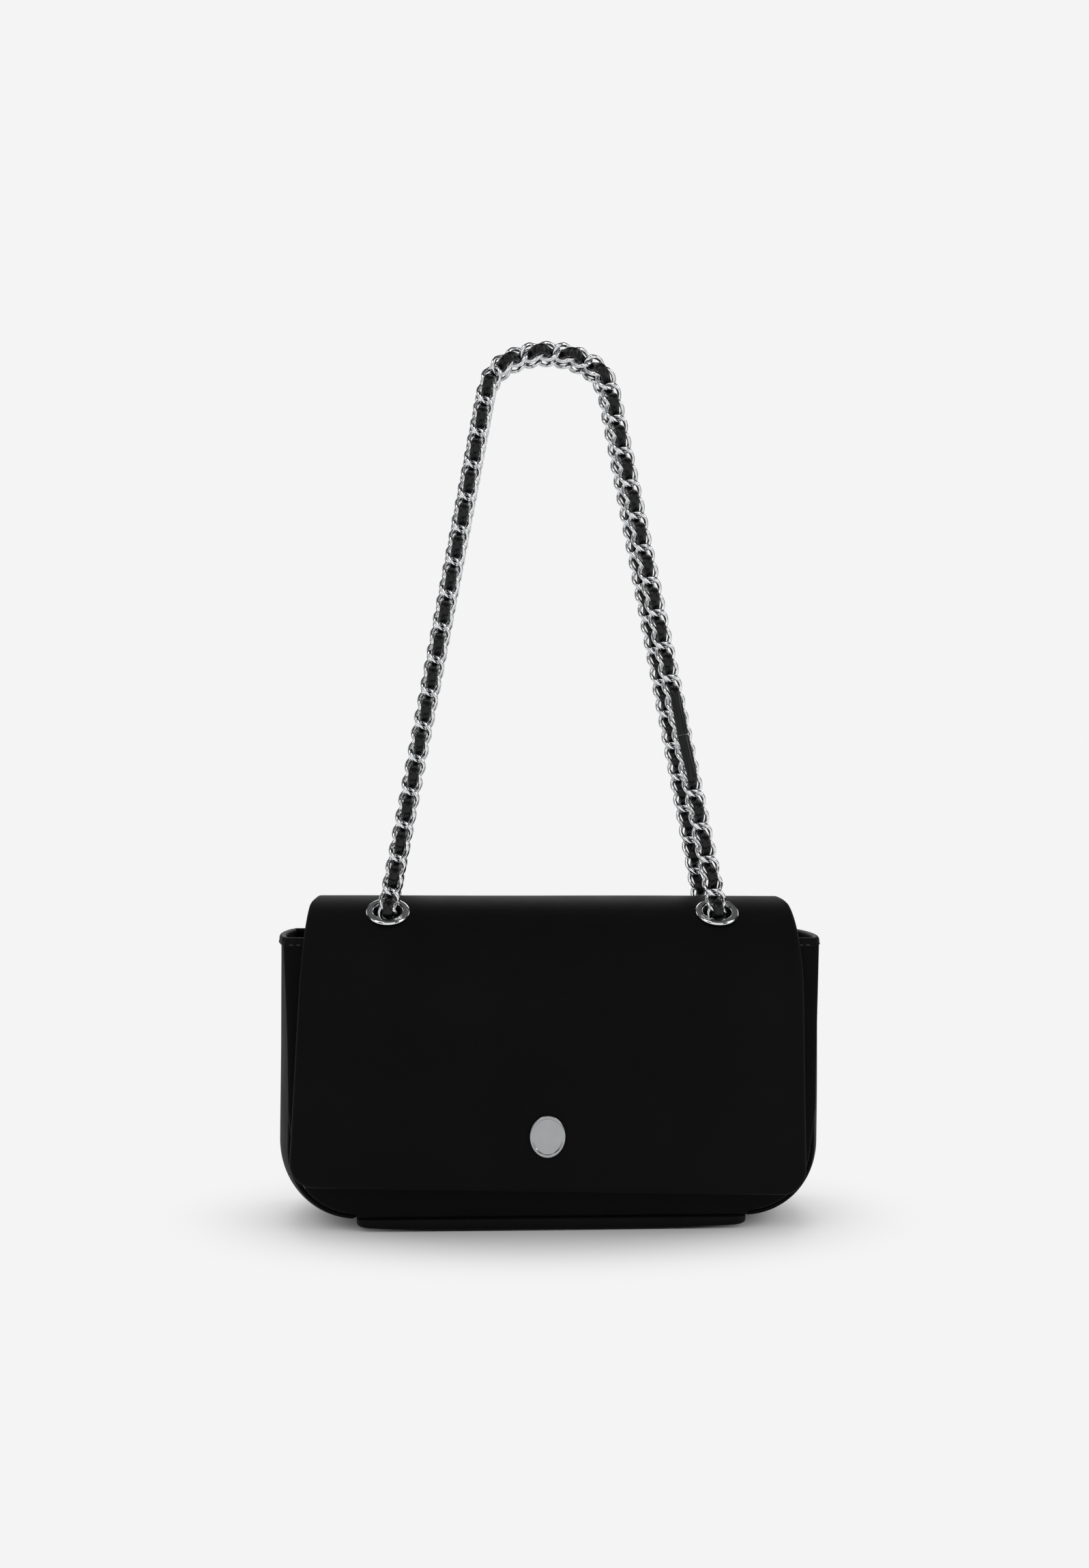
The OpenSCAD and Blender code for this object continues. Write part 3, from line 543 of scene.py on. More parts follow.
def panel(word, sign):
    """Front or back panel: bowed, rounded below, soft at its edges."""
    low, top = BASE_H + SEAM_GAP, HEM_Z + HEM_TUCK
    corner = [CORNER_Z - (CORNER_Z - low) * math.sin(t) for t in np.linspace(0.15, 1.45, 14)]
    heights = np.unique(np.round(np.concatenate([spaced(low, top, 4.0), corner]), 3))
    in_corner = np.clip((CORNER_Z + DRAW_ABOVE - heights) / DRAW_OVER, 0, 1)
    drawn_in = CORNER_DRAW * smooth(in_corner) - SEAM_STEP
    wide = np.array([half_width(z, panel_y(z), k) for z, k in zip(heights, drawn_in)])
    across = spaced(0, 2 * wide.max(), 4.5) / wide.max() - 1
    flat = np.stack([across[None, :] * wide[:, None], np.repeat(heights[:, None], len(across), 1)], axis=2)
    x, z = flat[:, :, 0], flat[:, :, 1]
    y = panel_y(z) + unevenness(flat, height=0.35, reach=12, seed=3 if sign < 0 else 4)
    grid = np.stack([sign * -x, sign * y, z], axis=2)
    piece = pad(f"{word}_leather", flat, grid, PANEL_T, 1.25, LEATHER, "bag", "black_leather")
    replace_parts(piece, f"{word}_panel")


def gusset(word, side):
    """Gusset: bulges out over its depth, runs down and turns under round the lower corner."""
    down = [(z, 0.0) for z in spaced(CORNER_Z, HEM_Z + HEM_TUCK, 5.0)[::-1]]
    under = [(CORNER_Z, t) for t in np.linspace(0, RIGHT_ANGLE, 26)[1:]]
    shares = spaced(0, 60, 3.0) / 30 - 1
    reach = float(side_reach(0.0))
    rows, flats = [], []
    run, last = 0.0, down[0]
    for z, t in down + under:
        y = shares * float(panel_y(max(z - reach * math.sin(t), 1.0), LINING_IN))
        ring = side_reach(y)
        x = np.maximum(CORNER_X + ring * math.cos(t), CORNER_X + SEAM_GAP)
        rows.append(np.stack([side * x, side * y, z - ring * math.sin(t)], axis=1))
        run += abs(last[0] - z) + reach * abs(t - last[1])
        last = z, t
        flats.append(np.stack([y, np.full_like(y, run)], axis=1))
    grid, flat = np.array(rows), np.array(flats)
    grid = grid - normals_of(grid) * unevenness(flat, height=0.3, reach=10, seed=11)[:, :, None]
    piece = pad(f"gusset_leather_{word}", flat, grid, GUSSET_T, 1.0, LEATHER, "bag", "black_leather", sense=-1)
    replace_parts(piece, f"side_gusset_{word}")


HEM_SECTION = [(HEM_T / 2 * signed_power(math.cos(t), 0.75), HEM_H / 2 * signed_power(math.sin(t), 0.6))
               for t in turns(HEM_STEPS)]


def hem(word, reach, step, at, seam, normals):
    """Folded hem, rounded at both ends, and its stitches. at gives a point from its place along the hem, its
    depth and its height."""
    places = spaced(-reach, reach, step, (0.3, 0.9, 2.0))
    rows = []
    for place in places:
        squeeze = rounded(reach - abs(place), HEM_END_R)
        rows += [at(place, u * squeeze, HEM_MIDDLE + v * (0.35 + 0.65 * squeeze)) for u, v in HEM_SECTION]
    faces = grid_faces(len(places), HEM_STEPS, closed=True)
    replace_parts(make(f"hem_{word}_fold", rows, faces, EDGE, "bag", "edge_leather"), f"hem_{word}")
    stitches(f"hem_{word}_fold_stitches", seam, normals, "bag", "edge_leather")


def hem_along(word, sign):
    """Hem along the front or the back of the mouth."""
    wide = float(half_width(HEM_Z, panel_y(HEM_Z), -SEAM_STEP))
    seam = [(x, sign * panel_y(HEM_SEAM_Z), HEM_SEAM_Z) for x in np.linspace(2 - wide, wide - 2, 120)]
    hem(word, wide, 5.0, lambda x, u, z: (x, sign * (panel_y(z) - HEM_T / 2 + u), z), seam,
        [(0, sign, 0.02)] * len(seam))


def hem_side(word, side):
    """Hem along the top of a gusset."""
    limit = float(panel_y(HEM_Z, HEM_T + SEAM_GAP))

    def normal(y):
        return np.array([math.sqrt(GUSSET_R**2 - y**2), y]) / GUSSET_R

    def on_gusset(y, u, z):
        x, y = np.array([GUSSET_CX, 0]) + normal(y) * (GUSSET_R + u - GUSSET_T / 2)
        return side * x, y, z

    ys = np.linspace(2 - limit, limit - 2, 60)
    hem(word, limit, 3.5, on_gusset, [on_gusset(y, HEM_T / 2 - 0.05, HEM_SEAM_Z) for y in ys],
        [(side * normal(y)[0], normal(y)[1], 0) for y in ys])


def rounded_outline(cx, cy, r):
    """Outline of a rectangle with corners of radius r round (+-cx, +-cy), and points along its edges too."""
    ring = []
    for k, (sx, sy, count) in enumerate(((1, 1, 32), (-1, 1, 10), (-1, -1, 32), (1, -1, 10))):
        arc = np.linspace(k * RIGHT_ANGLE, (k + 1) * RIGHT_ANGLE, 12)
        ring += [(sx * cx + r * math.cos(t), sy * cy + r * math.sin(t)) for t in arc]
        x, y = ring[-1]
        ring += [(x * u, y) if k % 2 == 0 else (x, y * u) for u in np.linspace(1, -1, count)[1:-1]]
    return ring


def base():
    """Base with soft edges, whose ends rise a little off the ground."""
    w, d = CORNER_X, float(panel_y(BASE_H + SEAM_GAP))
    profile = [(0.0, 2.2), (0.25, 1.1), (0.7, 0.45), (1.4, 0.12), (2.4, 0.0), (BASE_H - 1.4, 0.0),
               (BASE_H - 0.6, 0.12), (BASE_H - 0.2, 0.45), (BASE_H, 1.1)]
    points = []
    for z, inset in profile:
        ring = rounded_outline(w - BASE_CORNER_R, d - BASE_CORNER_R, BASE_CORNER_R - inset)
        points += [(x, y, z + (1 - z / BASE_H) * END_LIFT * abs(x / w) ** 4) for x, y in ring]
    n = len(ring)
    faces = grid_faces(len(profile), n, closed=True)
    for k in (0, len(profile) - 1):
        close_ring(points, faces, k * n, n, (0.96, 0.88, 0.75, 0.5, 0.2), profile[k][0])
    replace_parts(make("base_leather", points, faces, EDGE, "bag", "edge_leather"), "base_panel")


def lining():
    """Lining: one lofted bag of cloth, open at the mouth, rounded and slack along its floor."""
    k = GUSSET_T + SEAM_GAP
    heights = [LINING_Z + h for h in (0, 0.3, 1.0, 2.2, 4.0)] + list(np.linspace(LINING_Z + 7, HEM_Z - SEAM_GAP, 26))
    points = []
    for z in reversed(heights):
        draw = FLOOR_DRAW * (1 - rounded(z - LINING_Z, FLOOR_ROUND))
        limit = float(panel_y(z, LINING_IN)) - draw
        right = [(float(half_width(z, y, k)) - draw, y, z) for y in np.linspace(-limit, limit, 25)]
        edge = right[-1][0]
        back = [(x, limit, z) for x in np.linspace(edge, -edge, 61)[1:-1]]
        half = right + back
        points += half + [(-x, -y, z) for x, y, z in half]
    n = 2 * len(half)
    faces = grid_faces(len(heights), n, closed=True)
    close_ring(points, faces, len(points) - n, n, (0.97, 0.9, 0.7, 0.4, 0.1), LINING_Z)
    points = np.array(points)
    soft = 0.25 * waves(points[:, 0] + points[:, 1], points[:, 2], 21)
    points[:, 1] -= np.sign(points[:, 1]) * np.abs(soft)
    piece = make("lining_bag", points, faces, LINING, "", "lining_cloth")
    modifier = piece.modifiers.new("thickness", "SOLIDIFY")
    modifier.thickness = LINING_T * MM
    modifier.offset = -1
    apply(piece)
    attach(piece, "bag")
    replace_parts(piece, "lining")


# Flap


def flap_half(z):
    """Half width of the flap at a height, seen from the front, with its shoulders."""
    top = ARCH_H + ARCH_R + SEAM_GAP
    share = np.clip((top - SHOULDER_R - z) / (top - SHOULDER_R - FLAP_LOW - FLAP_CORNER_R), 0, 1)
    width = (FLAP_TOP_W + (FLAP_LOW_W - FLAP_TOP_W) * share) / 2
    over = np.clip((z - (top - SHOULDER_R)) / SHOULDER_R, 0, 1)
    width -= SHOULDER_IN * np.exp((z - top) / SHOULDER_OVER)
    return width - SHOULDER_R + SHOULDER_R * np.sqrt(1 - over**2)


def strip_y(z):
    return float(panel_y(z)) + SEAM_GAP + STRIP_T


def flap_path(w):
    """Outer face of the flap in the side view. w runs from the crest, down the front if it is positive
    and down the back if it is negative. Past the arch it follows the strip sewn to the back panel."""
    if w >= ARC_FRONT:
        return -ARCH_R, ARCH_H - (w - ARC_FRONT)
    if w >= -ARC_BACK:
        return -ARCH_R * math.sin(w / ARCH_R), ARCH_H + ARCH_R * math.cos(w / ARCH_R)
    end_y, end_z = flap_path(-ARC_BACK)
    z = end_z + ARC_BACK + w
    if z < STRIP_FROM:
        return strip_y(z), z
    low_y = strip_y(STRIP_FROM)
    low_slope = strip_y(STRIP_FROM + 1) - low_y
    span = end_z - STRIP_FROM
    u = (z - STRIP_FROM) / span
    slopes = low_slope * (u - 2 * u**2 + u**3) + math.tan(WRAP_TURN) * (u**3 - u**2)
    return low_y + (end_y - low_y) * smooth(u) + span * slopes, z


def flap_grid(places, inset, depth):
    """Flat pattern and outer face of a layer of the flap: inset from the outline, depth below the face."""
    across = spaced(0, FLAP_LOW_W, 5.0) / (FLAP_LOW_W / 2) - 1
    flat, grid = [], []
    for w in places:
        half = float(flap_half(flap_path(w)[1])) - inset
        past = min(max((STRIP_AHEAD - ARC_BACK - w) / STRIP_EASE, 0), 1)
        half += (FLAP_TOP_W / 2 - STRIP_IN - inset - half) * smooth(past)
        left = FLAP_END - w
        if left < FLAP_CORNER_R:
            r = FLAP_CORNER_R - inset
            up = r - max(left - inset, 0)
            half = half - r + math.sqrt(max(r * r - up * up, 0))
        p = across * half
        swing = max(w, 0.0)
        x = p * math.cos(FLAP_LEAN) - swing * math.sin(FLAP_LEAN)
        lean = min(swing / LEAN_OVER, 1.0) * (1 + LEAN_MORE * min(swing / FLAP_END, 1.0))
        v = w + p * math.sin(FLAP_LEAN) * lean
        side = np.array([flap_path(t) for t in v])
        run = unit(np.array([flap_path(t + 0.05) for t in v]) - side)
        y, z = side[:, 0] - run[:, 1] * depth, side[:, 1] + run[:, 0] * depth
        flat.append(np.stack([x, v], axis=1))
        grid.append(np.stack([x, y, z], axis=1))
    return np.array(flat), np.array(grid)


def flap_places(low, high):
    """Rows of a layer of the flap, close together at its ends, crest, bend and lower corners."""
    corner = [high - FLAP_CORNER_R * (1 - math.cos(t)) for t in np.linspace(0.3, 1.5, 9)]
    fine = list(np.arange(-ARC_BACK - 9, -ARC_BACK + 8, 1.0)) + list(np.arange(-21, 21.1, 1.5))
    found = sorted(np.concatenate([spaced(low, high, 4.0), corner, [f for f in fine if low + 1 < f < high - 1]]))
    kept = [found[0]]
    for place in found[1:]:
        if place - kept[-1] > 0.1:
            kept.append(place)
    return np.array(kept[:-1] + [high])


EYELETS = [(f"{end}_{word}", sign, side) for end, sign in ENDS for word, side in SIDES]


def eyelet_axis(sign, side):
    """Direction of an eyelet, and the point on the arch's axis that it starts from."""
    up = (0, sign * math.sin(EYELET_ANGLE), math.cos(EYELET_ANGLE))
    return up, (side * EYELET_SPACING / 2, 0, ARCH_H)


def eyelet_holes(radius, low, high):
    """Cutters for all eyelets, from low to high round the arch's radius."""
    axes = [eyelet_axis(sign, side) for _, sign, side in EYELETS]
    return [rod(centre, axis, radius, ARCH_R + low, ARCH_R + high) for axis, centre in axes]


def flap():
    """Padded flap in one sheet with the strip that sews it on, and its lining."""
    end = -ARC_BACK - (flap_path(-ARC_BACK)[1] - STRIP_LOW)
    flat, grid = flap_grid(flap_places(end, FLAP_END), 0.0, 0.0)
    past = np.clip((-ARC_BACK - flat[:, :, 1]) / 6.0, 0, 1)
    thickness = (FLAP_T - FLAP_LINING_T - FLAP_GLUE) * (1 - past) + STRIP_T * past
    grid = grid - normals_of(grid) * unevenness(flat, height=0.3, reach=16, seed=7)[:, :, None]
    piece = pad("flap_leather", flat, grid, thickness, 2.1, LEATHER, "", "black_leather", sense=-1)
    cut(piece, eyelet_holes(EYELET_BORE / 2 + EYELET_WALL + 0.1, -9, 4))
    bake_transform(piece)
    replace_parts(piece, "flap_cover", "flap_foam", "flap_anchor")
    seam = [(x, strip_y(STRIP_SEAM_Z), STRIP_SEAM_Z) for x in np.linspace(-105, 105, 120)]
    stitches("strip_stitches", seam, [(0, 1, 0.1)] * len(seam), "bag", "black_leather")

    places = flap_places(4 - ARC_BACK, FLAP_END - FLAP_LINING_IN)
    flat, grid = flap_grid(places, FLAP_LINING_IN, FLAP_T - FLAP_LINING_T)
    piece = pad("flap_lining_cloth", flat, grid, FLAP_LINING_T, 0.5, LINING, "", "lining_cloth", sense=-1)
    cut(piece, eyelet_holes(EYELET_R, -9, -3))
    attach(piece, "flap")
    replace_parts(piece, "flap_lining")


def eyelets():
    """Eyelets with a broad rounded rim that rolls over into the bore."""
    r, low, bevel = EYELET_BORE / 2, BARREL_LOW - ARCH_R, np.linspace(0, RIGHT_ANGLE, 9)
    profile = [(r + EYELET_WALL, low), (r, low), (r, -0.2)]
    profile += [(r + 0.1, 0.3), (r + 0.35, 0.68), (r + 0.75, 0.86), (r + 1.2, 0.93)]
    profile += [(EYELET_R - 1.2 + 1.2 * math.sin(t), -0.25 + 1.15 * math.cos(t)) for t in bevel]
    profile += [(EYELET_R - 0.15, -0.7), (EYELET_R - 0.5, -0.85), (r + EYELET_WALL, -0.85)]
    faces = torus_faces(EYELET_STEPS, len(profile))
    for word, sign, side in EYELETS:
        axis, centre = (np.array(v) for v in eyelet_axis(sign, side))
        across = np.array([1.0, 0, 0])
        ahead = np.cross(axis, across)
        points = []
        for t in turns(EYELET_STEPS):
            out = math.cos(t) * across + math.sin(t) * ahead
            points += [centre + p * out + (ARCH_R + h) * axis for p, h in profile]
        piece = make(f"rim_{word}", points, faces, CHROME, "flap", "bright_metal")
        piece.data.set_sharp_from_angle(angle=math.radians(60))
        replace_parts(piece, f"eyelet_{word}")


def badge():
    """Plain oval badge: a bead round a shallow dome."""
    rows = [(BADGE_X + share * BADGE_W * math.cos(a), -ARCH_R - rise, BADGE_Z + share * BADGE_H * math.sin(a))
            for share, rise in BADGE_PROFILE for a in turns(64)]
    faces = tube_faces(len(BADGE_PROFILE), 64)
    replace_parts(make("oval_badge", rows, faces, BADGE, "flap", "bright_metal"), "badge")


# Chain and lace


STRAND_L = STRAND_LINKS * PITCH - 2 * HOOK_EASE
RUN_L = RUN_LINKS * PITCH - 2 * HOOK_EASE
CORNER_L = STRAP_CORNER_R * CORNER_TURN


def leg_length(lean):
    """Length of a strand's straight legs."""
    return STRAND_L / 2 - CORNER_L - STRAP_TOP_R * (RIGHT_ANGLE - lean - CORNER_TURN)


def strap_half(lean):
    """Half of a strand's spread at its foot."""
    top = RIGHT_ANGLE - lean - CORNER_TURN
    return (leg_length(lean) * math.sin(lean) + STRAP_TOP_R * math.sin(top)
            + STRAP_CORNER_R * (math.sin(top + CORNER_TURN) - math.sin(top)))


def find_lean():
    """The lean at which both legs stand in their eyelets."""
    low, high = 0.0, math.radians(30)
    for _ in range(50):
        middle = (low + high) / 2
        low, high = (low, middle) if strap_half(middle) > EYELET_SPACING / 2 else (middle, high)
    return middle


def walk(s, place, heading, *parts):
    """Heading and place s along a flat path, from parts with a length and a radius: None if straight, else
    positive if it turns left."""
    for length, radius in parts:
        step = min(s, length)
        s -= step
        if radius is None:
            place = place + step * np.array([math.cos(heading), math.sin(heading)])
        else:
            a, heading = heading, heading + step / radius
            place = place + radius * np.array([math.sin(heading) - math.sin(a), math.cos(a) - math.cos(heading)])
    return heading, place


def mirrored(s, length, *path):
    """Heading and place s along a path whose second half mirrors its first."""
    if s <= length / 2:
        return walk(s, *path)
    h, p = walk(length - s, *path)
    return -h, np.array([-p[0], p[1]])


LEAN = find_lean()
STRAND_PATH = (np.array([-EYELET_SPACING / 2, 0]), RIGHT_ANGLE - LEAN,
               (leg_length(LEAN), None), (CORNER_L, -STRAP_CORNER_R), (math.inf, -STRAP_TOP_R))


def strand_frame(s, sign):
    """Place, run, width and face of a strand. sign is -1 in front and 1 at the back."""
    h, p = mirrored(s, STRAND_L, *STRAND_PATH)
    up = np.array([0, -sign * math.sin(STRAND_LEAN), math.cos(STRAND_LEAN)])
    out = np.array([0, -math.cos(STRAND_LEAN), -sign * math.sin(STRAND_LEAN)])
    right = np.array([1.0, 0, 0])
    sway = STRAP_SWAY * p[1] ** 2 / (abs(p[1]) + SWAY_EASE)
    place = np.array([0, sign * HOOK_Y, HOOK_Z]) + (p[0] - sway) * right + p[1] * up
    return place, math.cos(h) * right + math.sin(h) * up, -math.sin(h) * right + math.cos(h) * up, out


RUN_TURN = math.pi - 2 * EYELET_ANGLE
RUN_TANGENT = (2 * HOOK_R - RUN_L) / (2 - RUN_TURN / math.tan(RUN_TURN / 2))
RUN_R = RUN_TANGENT / math.tan(RUN_TURN / 2)
RUN_PATH = np.array([-HOOK_Y, HOOK_Z]), -RUN_TURN / 2, (HOOK_R - RUN_TANGENT, None), (math.inf, RUN_R)


def run_frame(s, side):
    """Place, run, width and face of the run under the flap. side is -1 on the left and 1 on the right."""
    h, p = mirrored(s, RUN_L, *RUN_PATH)
    place = np.array([side * EYELET_SPACING / 2, p[0], p[1]])
    return (place, np.array([0, math.cos(h), math.sin(h)]), np.array([1.0, 0, 0]),
            np.array([0, math.sin(h), -math.cos(h)]))


def link_mesh(frame_at, i):
    """One oval link of round wire, twisted so that its two ends stand crosswise to those they hook into."""
    place, run, width, face = frame_at((i + 0.5) * PITCH - HOOK_EASE)
    path = []
    for t in turns(LINK_STEPS):
        c, s = math.cos(t), math.sin(t)
        a = -LINK_TURN * math.sin(RIGHT_ANGLE * c)
        side = math.cos(a) * width + math.sin(a) * face
        path.append(place + LINK_A * c * run + LINK_B * signed_power(s, 0.85) * side)
    path = np.array(path)
    along = unit(np.roll(path, -1, axis=0) - np.roll(path, 1, axis=0))
    out = path - place
    out = unit(out - np.sum(out * along, axis=1, keepdims=True) * along)
    up = np.cross(along, out)
    ring = circle(WIRE_D / 2, WIRE_STEPS)
    points = [p + s[0] * o + s[1] * u for p, o, u in zip(path, out, up) for s in ring]
    return np.array(points), torus_faces(LINK_STEPS, WIRE_STEPS)


def chain(name, node, frame_at, count, body):
    """A chain of links."""
    points, faces = joined([link_mesh(frame_at, i) for i in range(count)])
    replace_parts(make(name, points, faces, CHROME, body, "bright_metal"), node)


def lace_side(j, splice):
    """1 where the lace passes over hook j of the chain, and -1 where under. Along its splice it stays over."""
    if splice <= j <= splice + SPLICE_SPAN:
        return 1
    if j > splice:
        j -= splice + SPLICE_SPAN
    return 1 if j % 2 == 0 else -1


def rise_share(x, splice):
    """Share of its full rise that the lace has, x hooks along. It dips a little at the join of the splice."""
    j = math.floor(x)
    u = x - j
    dip = SPLICE_DIP * math.exp(-(((x - splice - SPLICE_SPAN / 2) / DIP_OVER) ** 2))
    return (lace_side(j, splice) * (1 + math.cos(math.pi * u))
            + lace_side(j + 1, splice) * (1 - math.cos(math.pi * u))) / 2 - dip


def lace(name, node, body, frame_at, low, high, splice=STRAND_LINKS + 1, square_end=True):
    """Soft flat strip that passes over one link hook and under the next. A splice past its end isn't there."""
    rings = []
    for x in np.linspace(low, high, int((high - low) * LACE_RINGS) + 1):
        place, run, width, face = frame_at(x * PITCH - HOOK_EASE)
        share = rise_share(x, splice)
        slope = LACE_RISE * (rise_share(x + 0.01, splice) - rise_share(x - 0.01, splice)) / (0.02 * PITCH)
        inside = min(max(min(x - splice, splice + SPLICE_SPAN - x), 0), 1)
        shape = (0.6 * share * (1 - inside), (0.7 + 0.5 * inside) * share)
        wide = width * (1 + SPLICE_WIDER * inside)
        rings.append((place + LACE_RISE * share * face, wide, unit(face - slope * run), shape))
    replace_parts(make(name, *lace_skin(rings, square_end), LACE, body, "lace_leather"), node)


def lace_skin(rings, square_end):
    """Skin of a lace. Each ring holds its place, its width, its face, and how far its edges curl and its
    middle swells, each with the sign of its side of the chain. The lace starts square."""
    points = []
    ends = np.ones(len(rings))
    ends[0] = SQUARE_END
    ends[-3:] = (1, 1, SQUARE_END) if square_end else ROUND_END
    for close, (at, width, out, (curl, dome)) in zip(ends, rings):
        for t in turns(LACE_STEPS):
            c, s = math.cos(t), math.sin(t)
            u = signed_power(c, 0.8) * LACE_W / 2 * close
            q = u / LACE_W * 2
            v = signed_power(s, 0.8) * LACE_T / 2 * close
            v += curl * q * q + (dome * (1 - q * q) if s * dome > 0 else 0)
            points.append(at + u * width + v * out)
    return np.array(points), tube_faces(len(rings), LACE_STEPS)


def hook_lace(word, sign, side):
    """The lace on its way through an eyelet, from half a pitch up the strand to half a pitch down the run.
    At the back on the left it ends in the eyelet instead."""
    place_s, dir_s, width_s, face_s = strand_frame(0.0 if side < 0 else STRAND_L, sign)
    place_r, dir_r, width_r, face_r = run_frame(0.0 if sign < 0 else RUN_L, side)
    dir_s, dir_r = -side * dir_s, -sign * dir_r
    tail = side < 0 < sign
    face_s = -face_s if sign > 0 and side > 0 else face_s
    face_r = -face_r if tail else face_r
    width_r = width_r if width_r @ width_s > 0 else -width_r
    hook = (place_s + place_r) / 2
    rings = []
    for q in np.linspace(-1.04, 0.6 if tail else 1.04, 26):
        w = smooth(min(max((q + 0.7) / 1.4, 0), 1))
        share = 1.0 if tail and q > 0 else math.cos(math.pi * q / 2)
        at_s = hook - q * PITCH / 2 * dir_s + LACE_RISE * share * face_s
        at_r = hook + q * PITCH / 2 * dir_r + LACE_RISE * share * face_r
        rings.append([(1 - w) * at_s + w * at_r, unit((1 - w) * width_s + w * width_r),
                      (1 - w) * face_s + w * face_r, (0.4 * share, 0.6 * share)])
    for k, ring in enumerate(rings):
        along = unit(rings[min(k + 1, len(rings) - 1)][0] - rings[max(k - 1, 0)][0])
        for i in (2, 1):
            ring[i] = unit(ring[i] - (ring[i] @ along) * along)
    piece = make(f"eyelet_lace_{word}", *lace_skin(rings, not tail), LACE, "", "lace_leather")
    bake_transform(piece)


def strap():
    """Both strands and both runs, with their lace."""
    front, back = partial(strand_frame, sign=-1), partial(strand_frame, sign=1)
    chain("front_links", "front_chain", front, STRAND_LINKS, "front_strand")
    chain("back_links", "back_chain", back, STRAND_LINKS, "back_strand")
    join, last = SPLICE_AT + SPLICE_SPAN / 2, STRAND_LINKS - 0.5
    lace("front_lace_long", "front_lace", "front_strand", front, 0.5, join - SPLICE_CUT, SPLICE_AT)
    lace("front_lace_short", "front_lace", "front_strand", front, join + SPLICE_CUT, last, SPLICE_AT)
    lace("back_lace_strip", "back_lace", "back_strand", back, 0.5, last)
    for word, side in SIDES:
        at = partial(run_frame, side=side)
        chain(f"run_links_{word}", f"flap_chain_{word}", at, RUN_LINKS, "flap")
        lace(f"run_lace_{word}", f"flap_lace_{word}", "flap", at, 0.5, RUN_LINKS - 0.5, square_end=side > 0)
    for eyelet in EYELETS:
        hook_lace(*eyelet)


# Pocket


def back_strip(name, node, low, high, thickness, material, slot):
    """Strip of cloth on the inside of the back, as wide as the pocket."""
    zs, xs = spaced(low, high, 4.0, (0.2, 0.6)), spaced(-POCKET_W / 2, POCKET_W / 2, 5.0, (0.2, 0.6))
    x, z = np.meshgrid(xs, zs)
    grid = np.stack([x, panel_y(z, POCKET_IN), z], axis=2)
    piece = pad(name, np.stack([x, z], axis=2), grid, thickness, 0.4, material, "bag", slot)
    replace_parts(piece, node)
    return piece


def pocket():
    """Pocket front and zip tapes. The teeth, stops, slider and pull are the CAD's own."""
    top = ZIP_Z - TAPE_W
    front = back_strip("pocket_cloth", "pocket_panel", top - POCKET_H, top - SEAM_GAP,
                       POCKET_T, LINING, "lining_cloth")
    back_strip("zip_tape_upper", "zip_tapes", ZIP_Z + TEETH_W, ZIP_Z + TAPE_W, TAPE_T, TAPE, "zip_cloth")
    back_strip("zip_tape_lower", "zip_tapes", ZIP_Z - TAPE_W, ZIP_Z - TEETH_W, TAPE_T, TAPE, "zip_cloth")


# Stage


def light_area(name, place, aim, size, power):
    """Rectangular lamp that looks at a point."""
    data = bpy.data.lights.new(name, "AREA")
    data.shape = "RECTANGLE"
    data.size, data.size_y = size
    data.energy = power
    lamp = placed(name, data)
    lamp.location = place
    lamp.rotation_euler = (Vector(aim) - Vector(place)).to_track_quat("-Z", "Y").to_euler()
    return lamp


def stage_mesh(name, points, material):
    """One face of the stage."""
    mesh = bpy.data.meshes.new(name)
    mesh.from_pydata(points, [], [tuple(range(len(points)))])
    mesh.materials.append(material)
    item = placed(name, mesh)
    return item


def card(name, x, y, width):
    """Upright black card that gives metal its dark streaks. Only reflections show it."""
    n = Surface(name + "_black")
    n.set(Base_Color=(0.01, 0.01, 0.01, 1), Roughness=0.9)
    dx, dy = np.array([y, -x]) / math.hypot(x, y) * width / 2
    left, right = (x - dx, y - dy), (x + dx, y + dy)
    item = stage_mesh(name, [(*left, 0), (*right, 0), (*right, CARD_H), (*left, CARD_H)], n.material)
    item.visible_camera = item.visible_diffuse = item.visible_shadow = False


def studio_world():
    """Even dim light. Where it is seen itself, it is as pale as the backdrop and darker high up."""
    world = bpy.data.worlds.new("studio")
    bpy.context.scene.world = world
    world.use_nodes = True
    n = Nodes(world.node_tree)
    dim = n.tree.nodes["Background"]
    dim.inputs["Color"].default_value = (1, 1, 1, 1)
    dim.inputs["Strength"].default_value = 0.5
    pale = n.add("ShaderNodeBackground", Color=(1, 1, 1, 1))
    split = n.add("ShaderNodeSeparateXYZ")
    n.link(n.add("ShaderNodeTexCoord").outputs["Generated"], split.inputs[0])
    height = n.spread(split.outputs["Z"], interpolation_type="SMOOTHSTEP",
                      From_Min=0.42, From_Max=0.72, To_Min=BACKDROP, To_Max=0.1)
    n.link(height, pale.inputs["Strength"])
    n.mix(n.seen(), dim.outputs[0], pale.outputs[0], n.tree.nodes["World Output"].inputs[0])


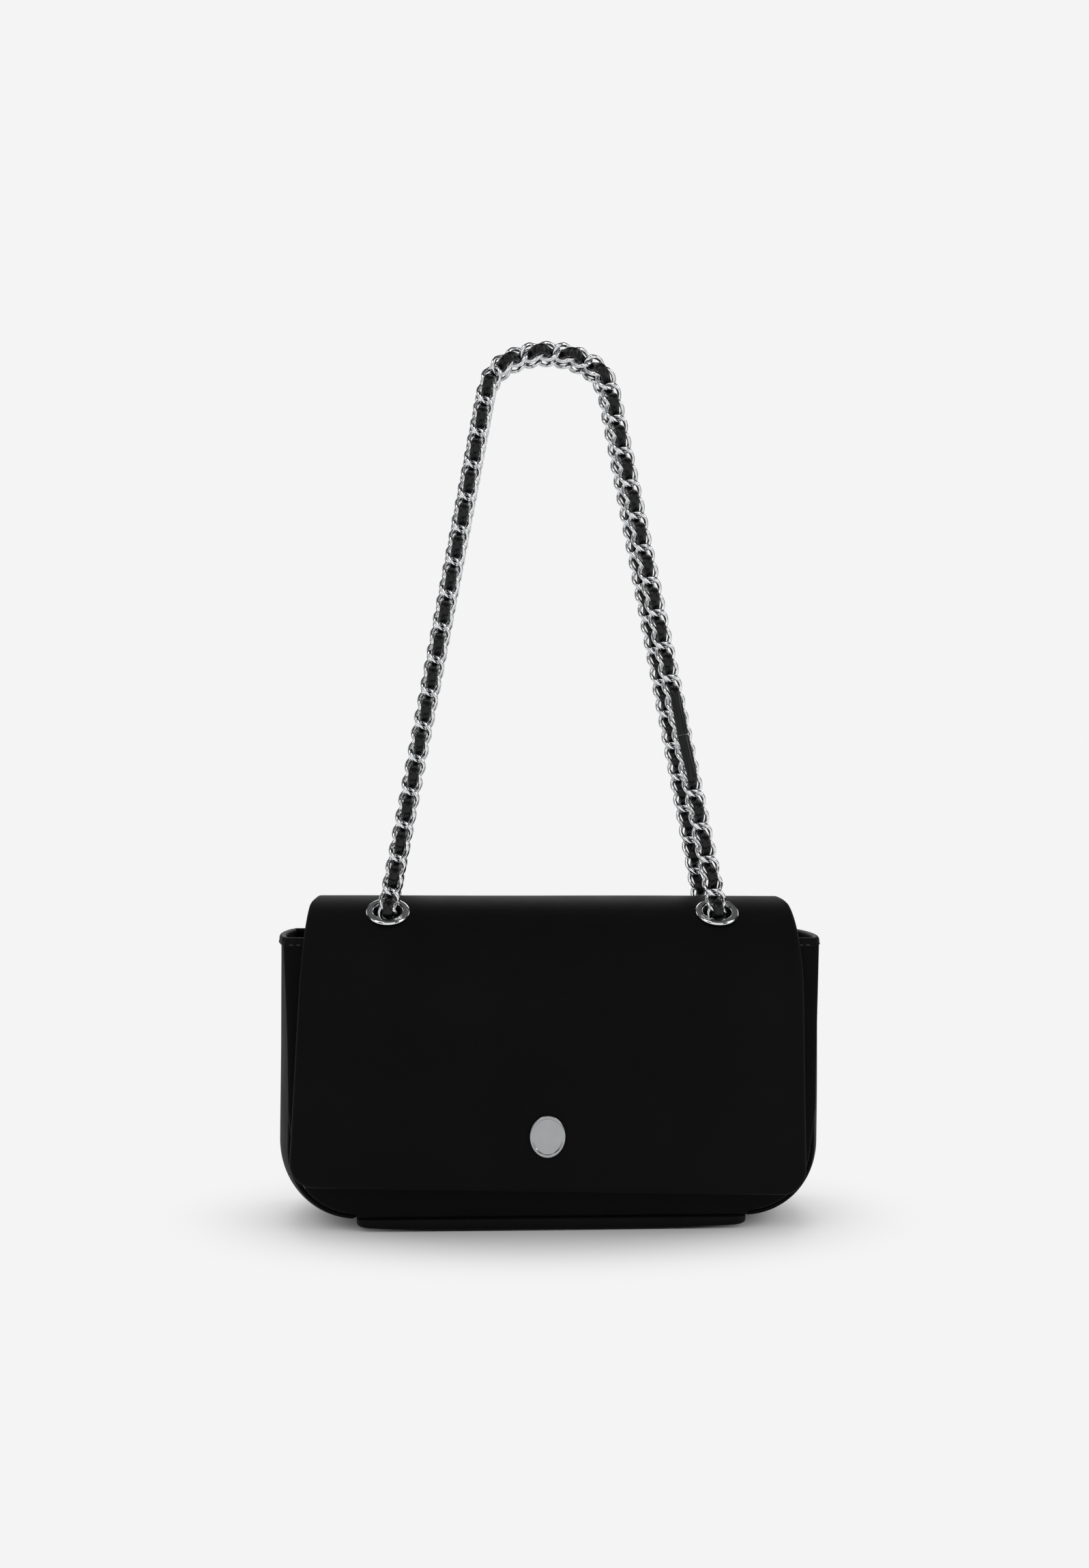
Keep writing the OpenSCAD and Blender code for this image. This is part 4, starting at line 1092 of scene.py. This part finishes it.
def pale_floor():
    """Floor that takes the bag's shadow, and runs out into the backdrop's tone."""
    n = Surface("pale_floor")
    n.set(Roughness=0.9, Specular_IOR_Level=0.1)
    n.colour(n.noise(3.0), (0.3, (0.8, 0.8, 0.8)), (0.7, (0.82, 0.82, 0.82)))
    glow = n.add("ShaderNodeEmission", Strength=BACKDROP)
    oval = n.add("ShaderNodeVectorMath", operation="MULTIPLY")
    oval.inputs[1].default_value = (0.62, 1, 1)
    n.link(n.coords, oval.inputs[0])
    far = n.add("ShaderNodeVectorMath", operation="LENGTH")
    n.link(oval.outputs["Vector"], far.inputs[0])
    fade = n.spread(far.outputs["Value"], interpolation_type="SMOOTHSTEP", From_Min=0.045, From_Max=0.12)
    share = n.math("MULTIPLY", fade, n.seen())
    n.mix(share, n.shader.outputs[0], glow.outputs[0], n.output.inputs["Surface"])
    stage_mesh("floor", [(x, y, FLOOR_Z) for x, y in circle(FLOOR_R, 64)], n.material)


def camera():
    """The camera of the photo."""
    data = bpy.data.cameras.new("camera")
    data.lens = FOCAL_PX * SENSOR / PHOTO_H_PX
    data.sensor_width = SENSOR
    data.clip_start, data.clip_end = 0.05, 30
    item = placed("camera", data)
    item.location = (-CAMERA_FAR * math.sin(CAMERA_YAW), -CAMERA_FAR * math.cos(CAMERA_YAW), CAMERA_Z)
    look = (Vector((AIM_X, 0, CAMERA_Z)) - item.location).to_track_quat("-Z", "Y")
    item.rotation_euler = (look @ Quaternion((0, 0, 1), CAMERA_ROLL)).to_euler()
    bpy.context.scene.camera = item


def stage():
    """Pale floor and backdrop, soft studio light, black cards and the camera."""
    bpy.context.scene.view_settings.view_transform = "Standard"
    studio_world()
    pale_floor()
    for name, x, y, width in CARDS:
        card(name, x, y, width)
    light_area("key", (-0.9, -1.1, 1.5), aim=(0, 0, 0.12), size=(0.9, 0.9), power=6)
    light_area("fill", (1.2, -0.9, 1.0), aim=(0, 0, 0.15), size=(0.8, 1.0), power=6.5)
    light_area("top", (0, 0.3, 1.6), aim=(0, 0, 0.1), size=(1.2, 0.7), power=10).visible_glossy = False
    light_area("back", (0.2, 1.4, 0.9), aim=(0, 0, 0.2), size=(1.2, 0.6), power=4)
    camera()


def main():
    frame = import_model()
    for node, material in (
        ("base_board", BOARD), ("snap_socket", CHROME), ("snap_stud", CHROME), ("eyelet_washers", CHROME),
        ("zip_teeth", SATIN), ("zip_stops", SATIN), ("zip_slider", SATIN), ("zip_pull", SATIN),
    ):
        mesh = frame["nodes"][node].data
        mesh.materials.clear()
        mesh.materials.append(material)
    for build, words in ((panel, ENDS), (gusset, SIDES), (hem_along, ENDS), (hem_side, SIDES)):
        for word, sign in words:
            build(word, sign)
    for build in (base, lining, flap, eyelets, badge, pocket, strap, stage):
        build()


main()
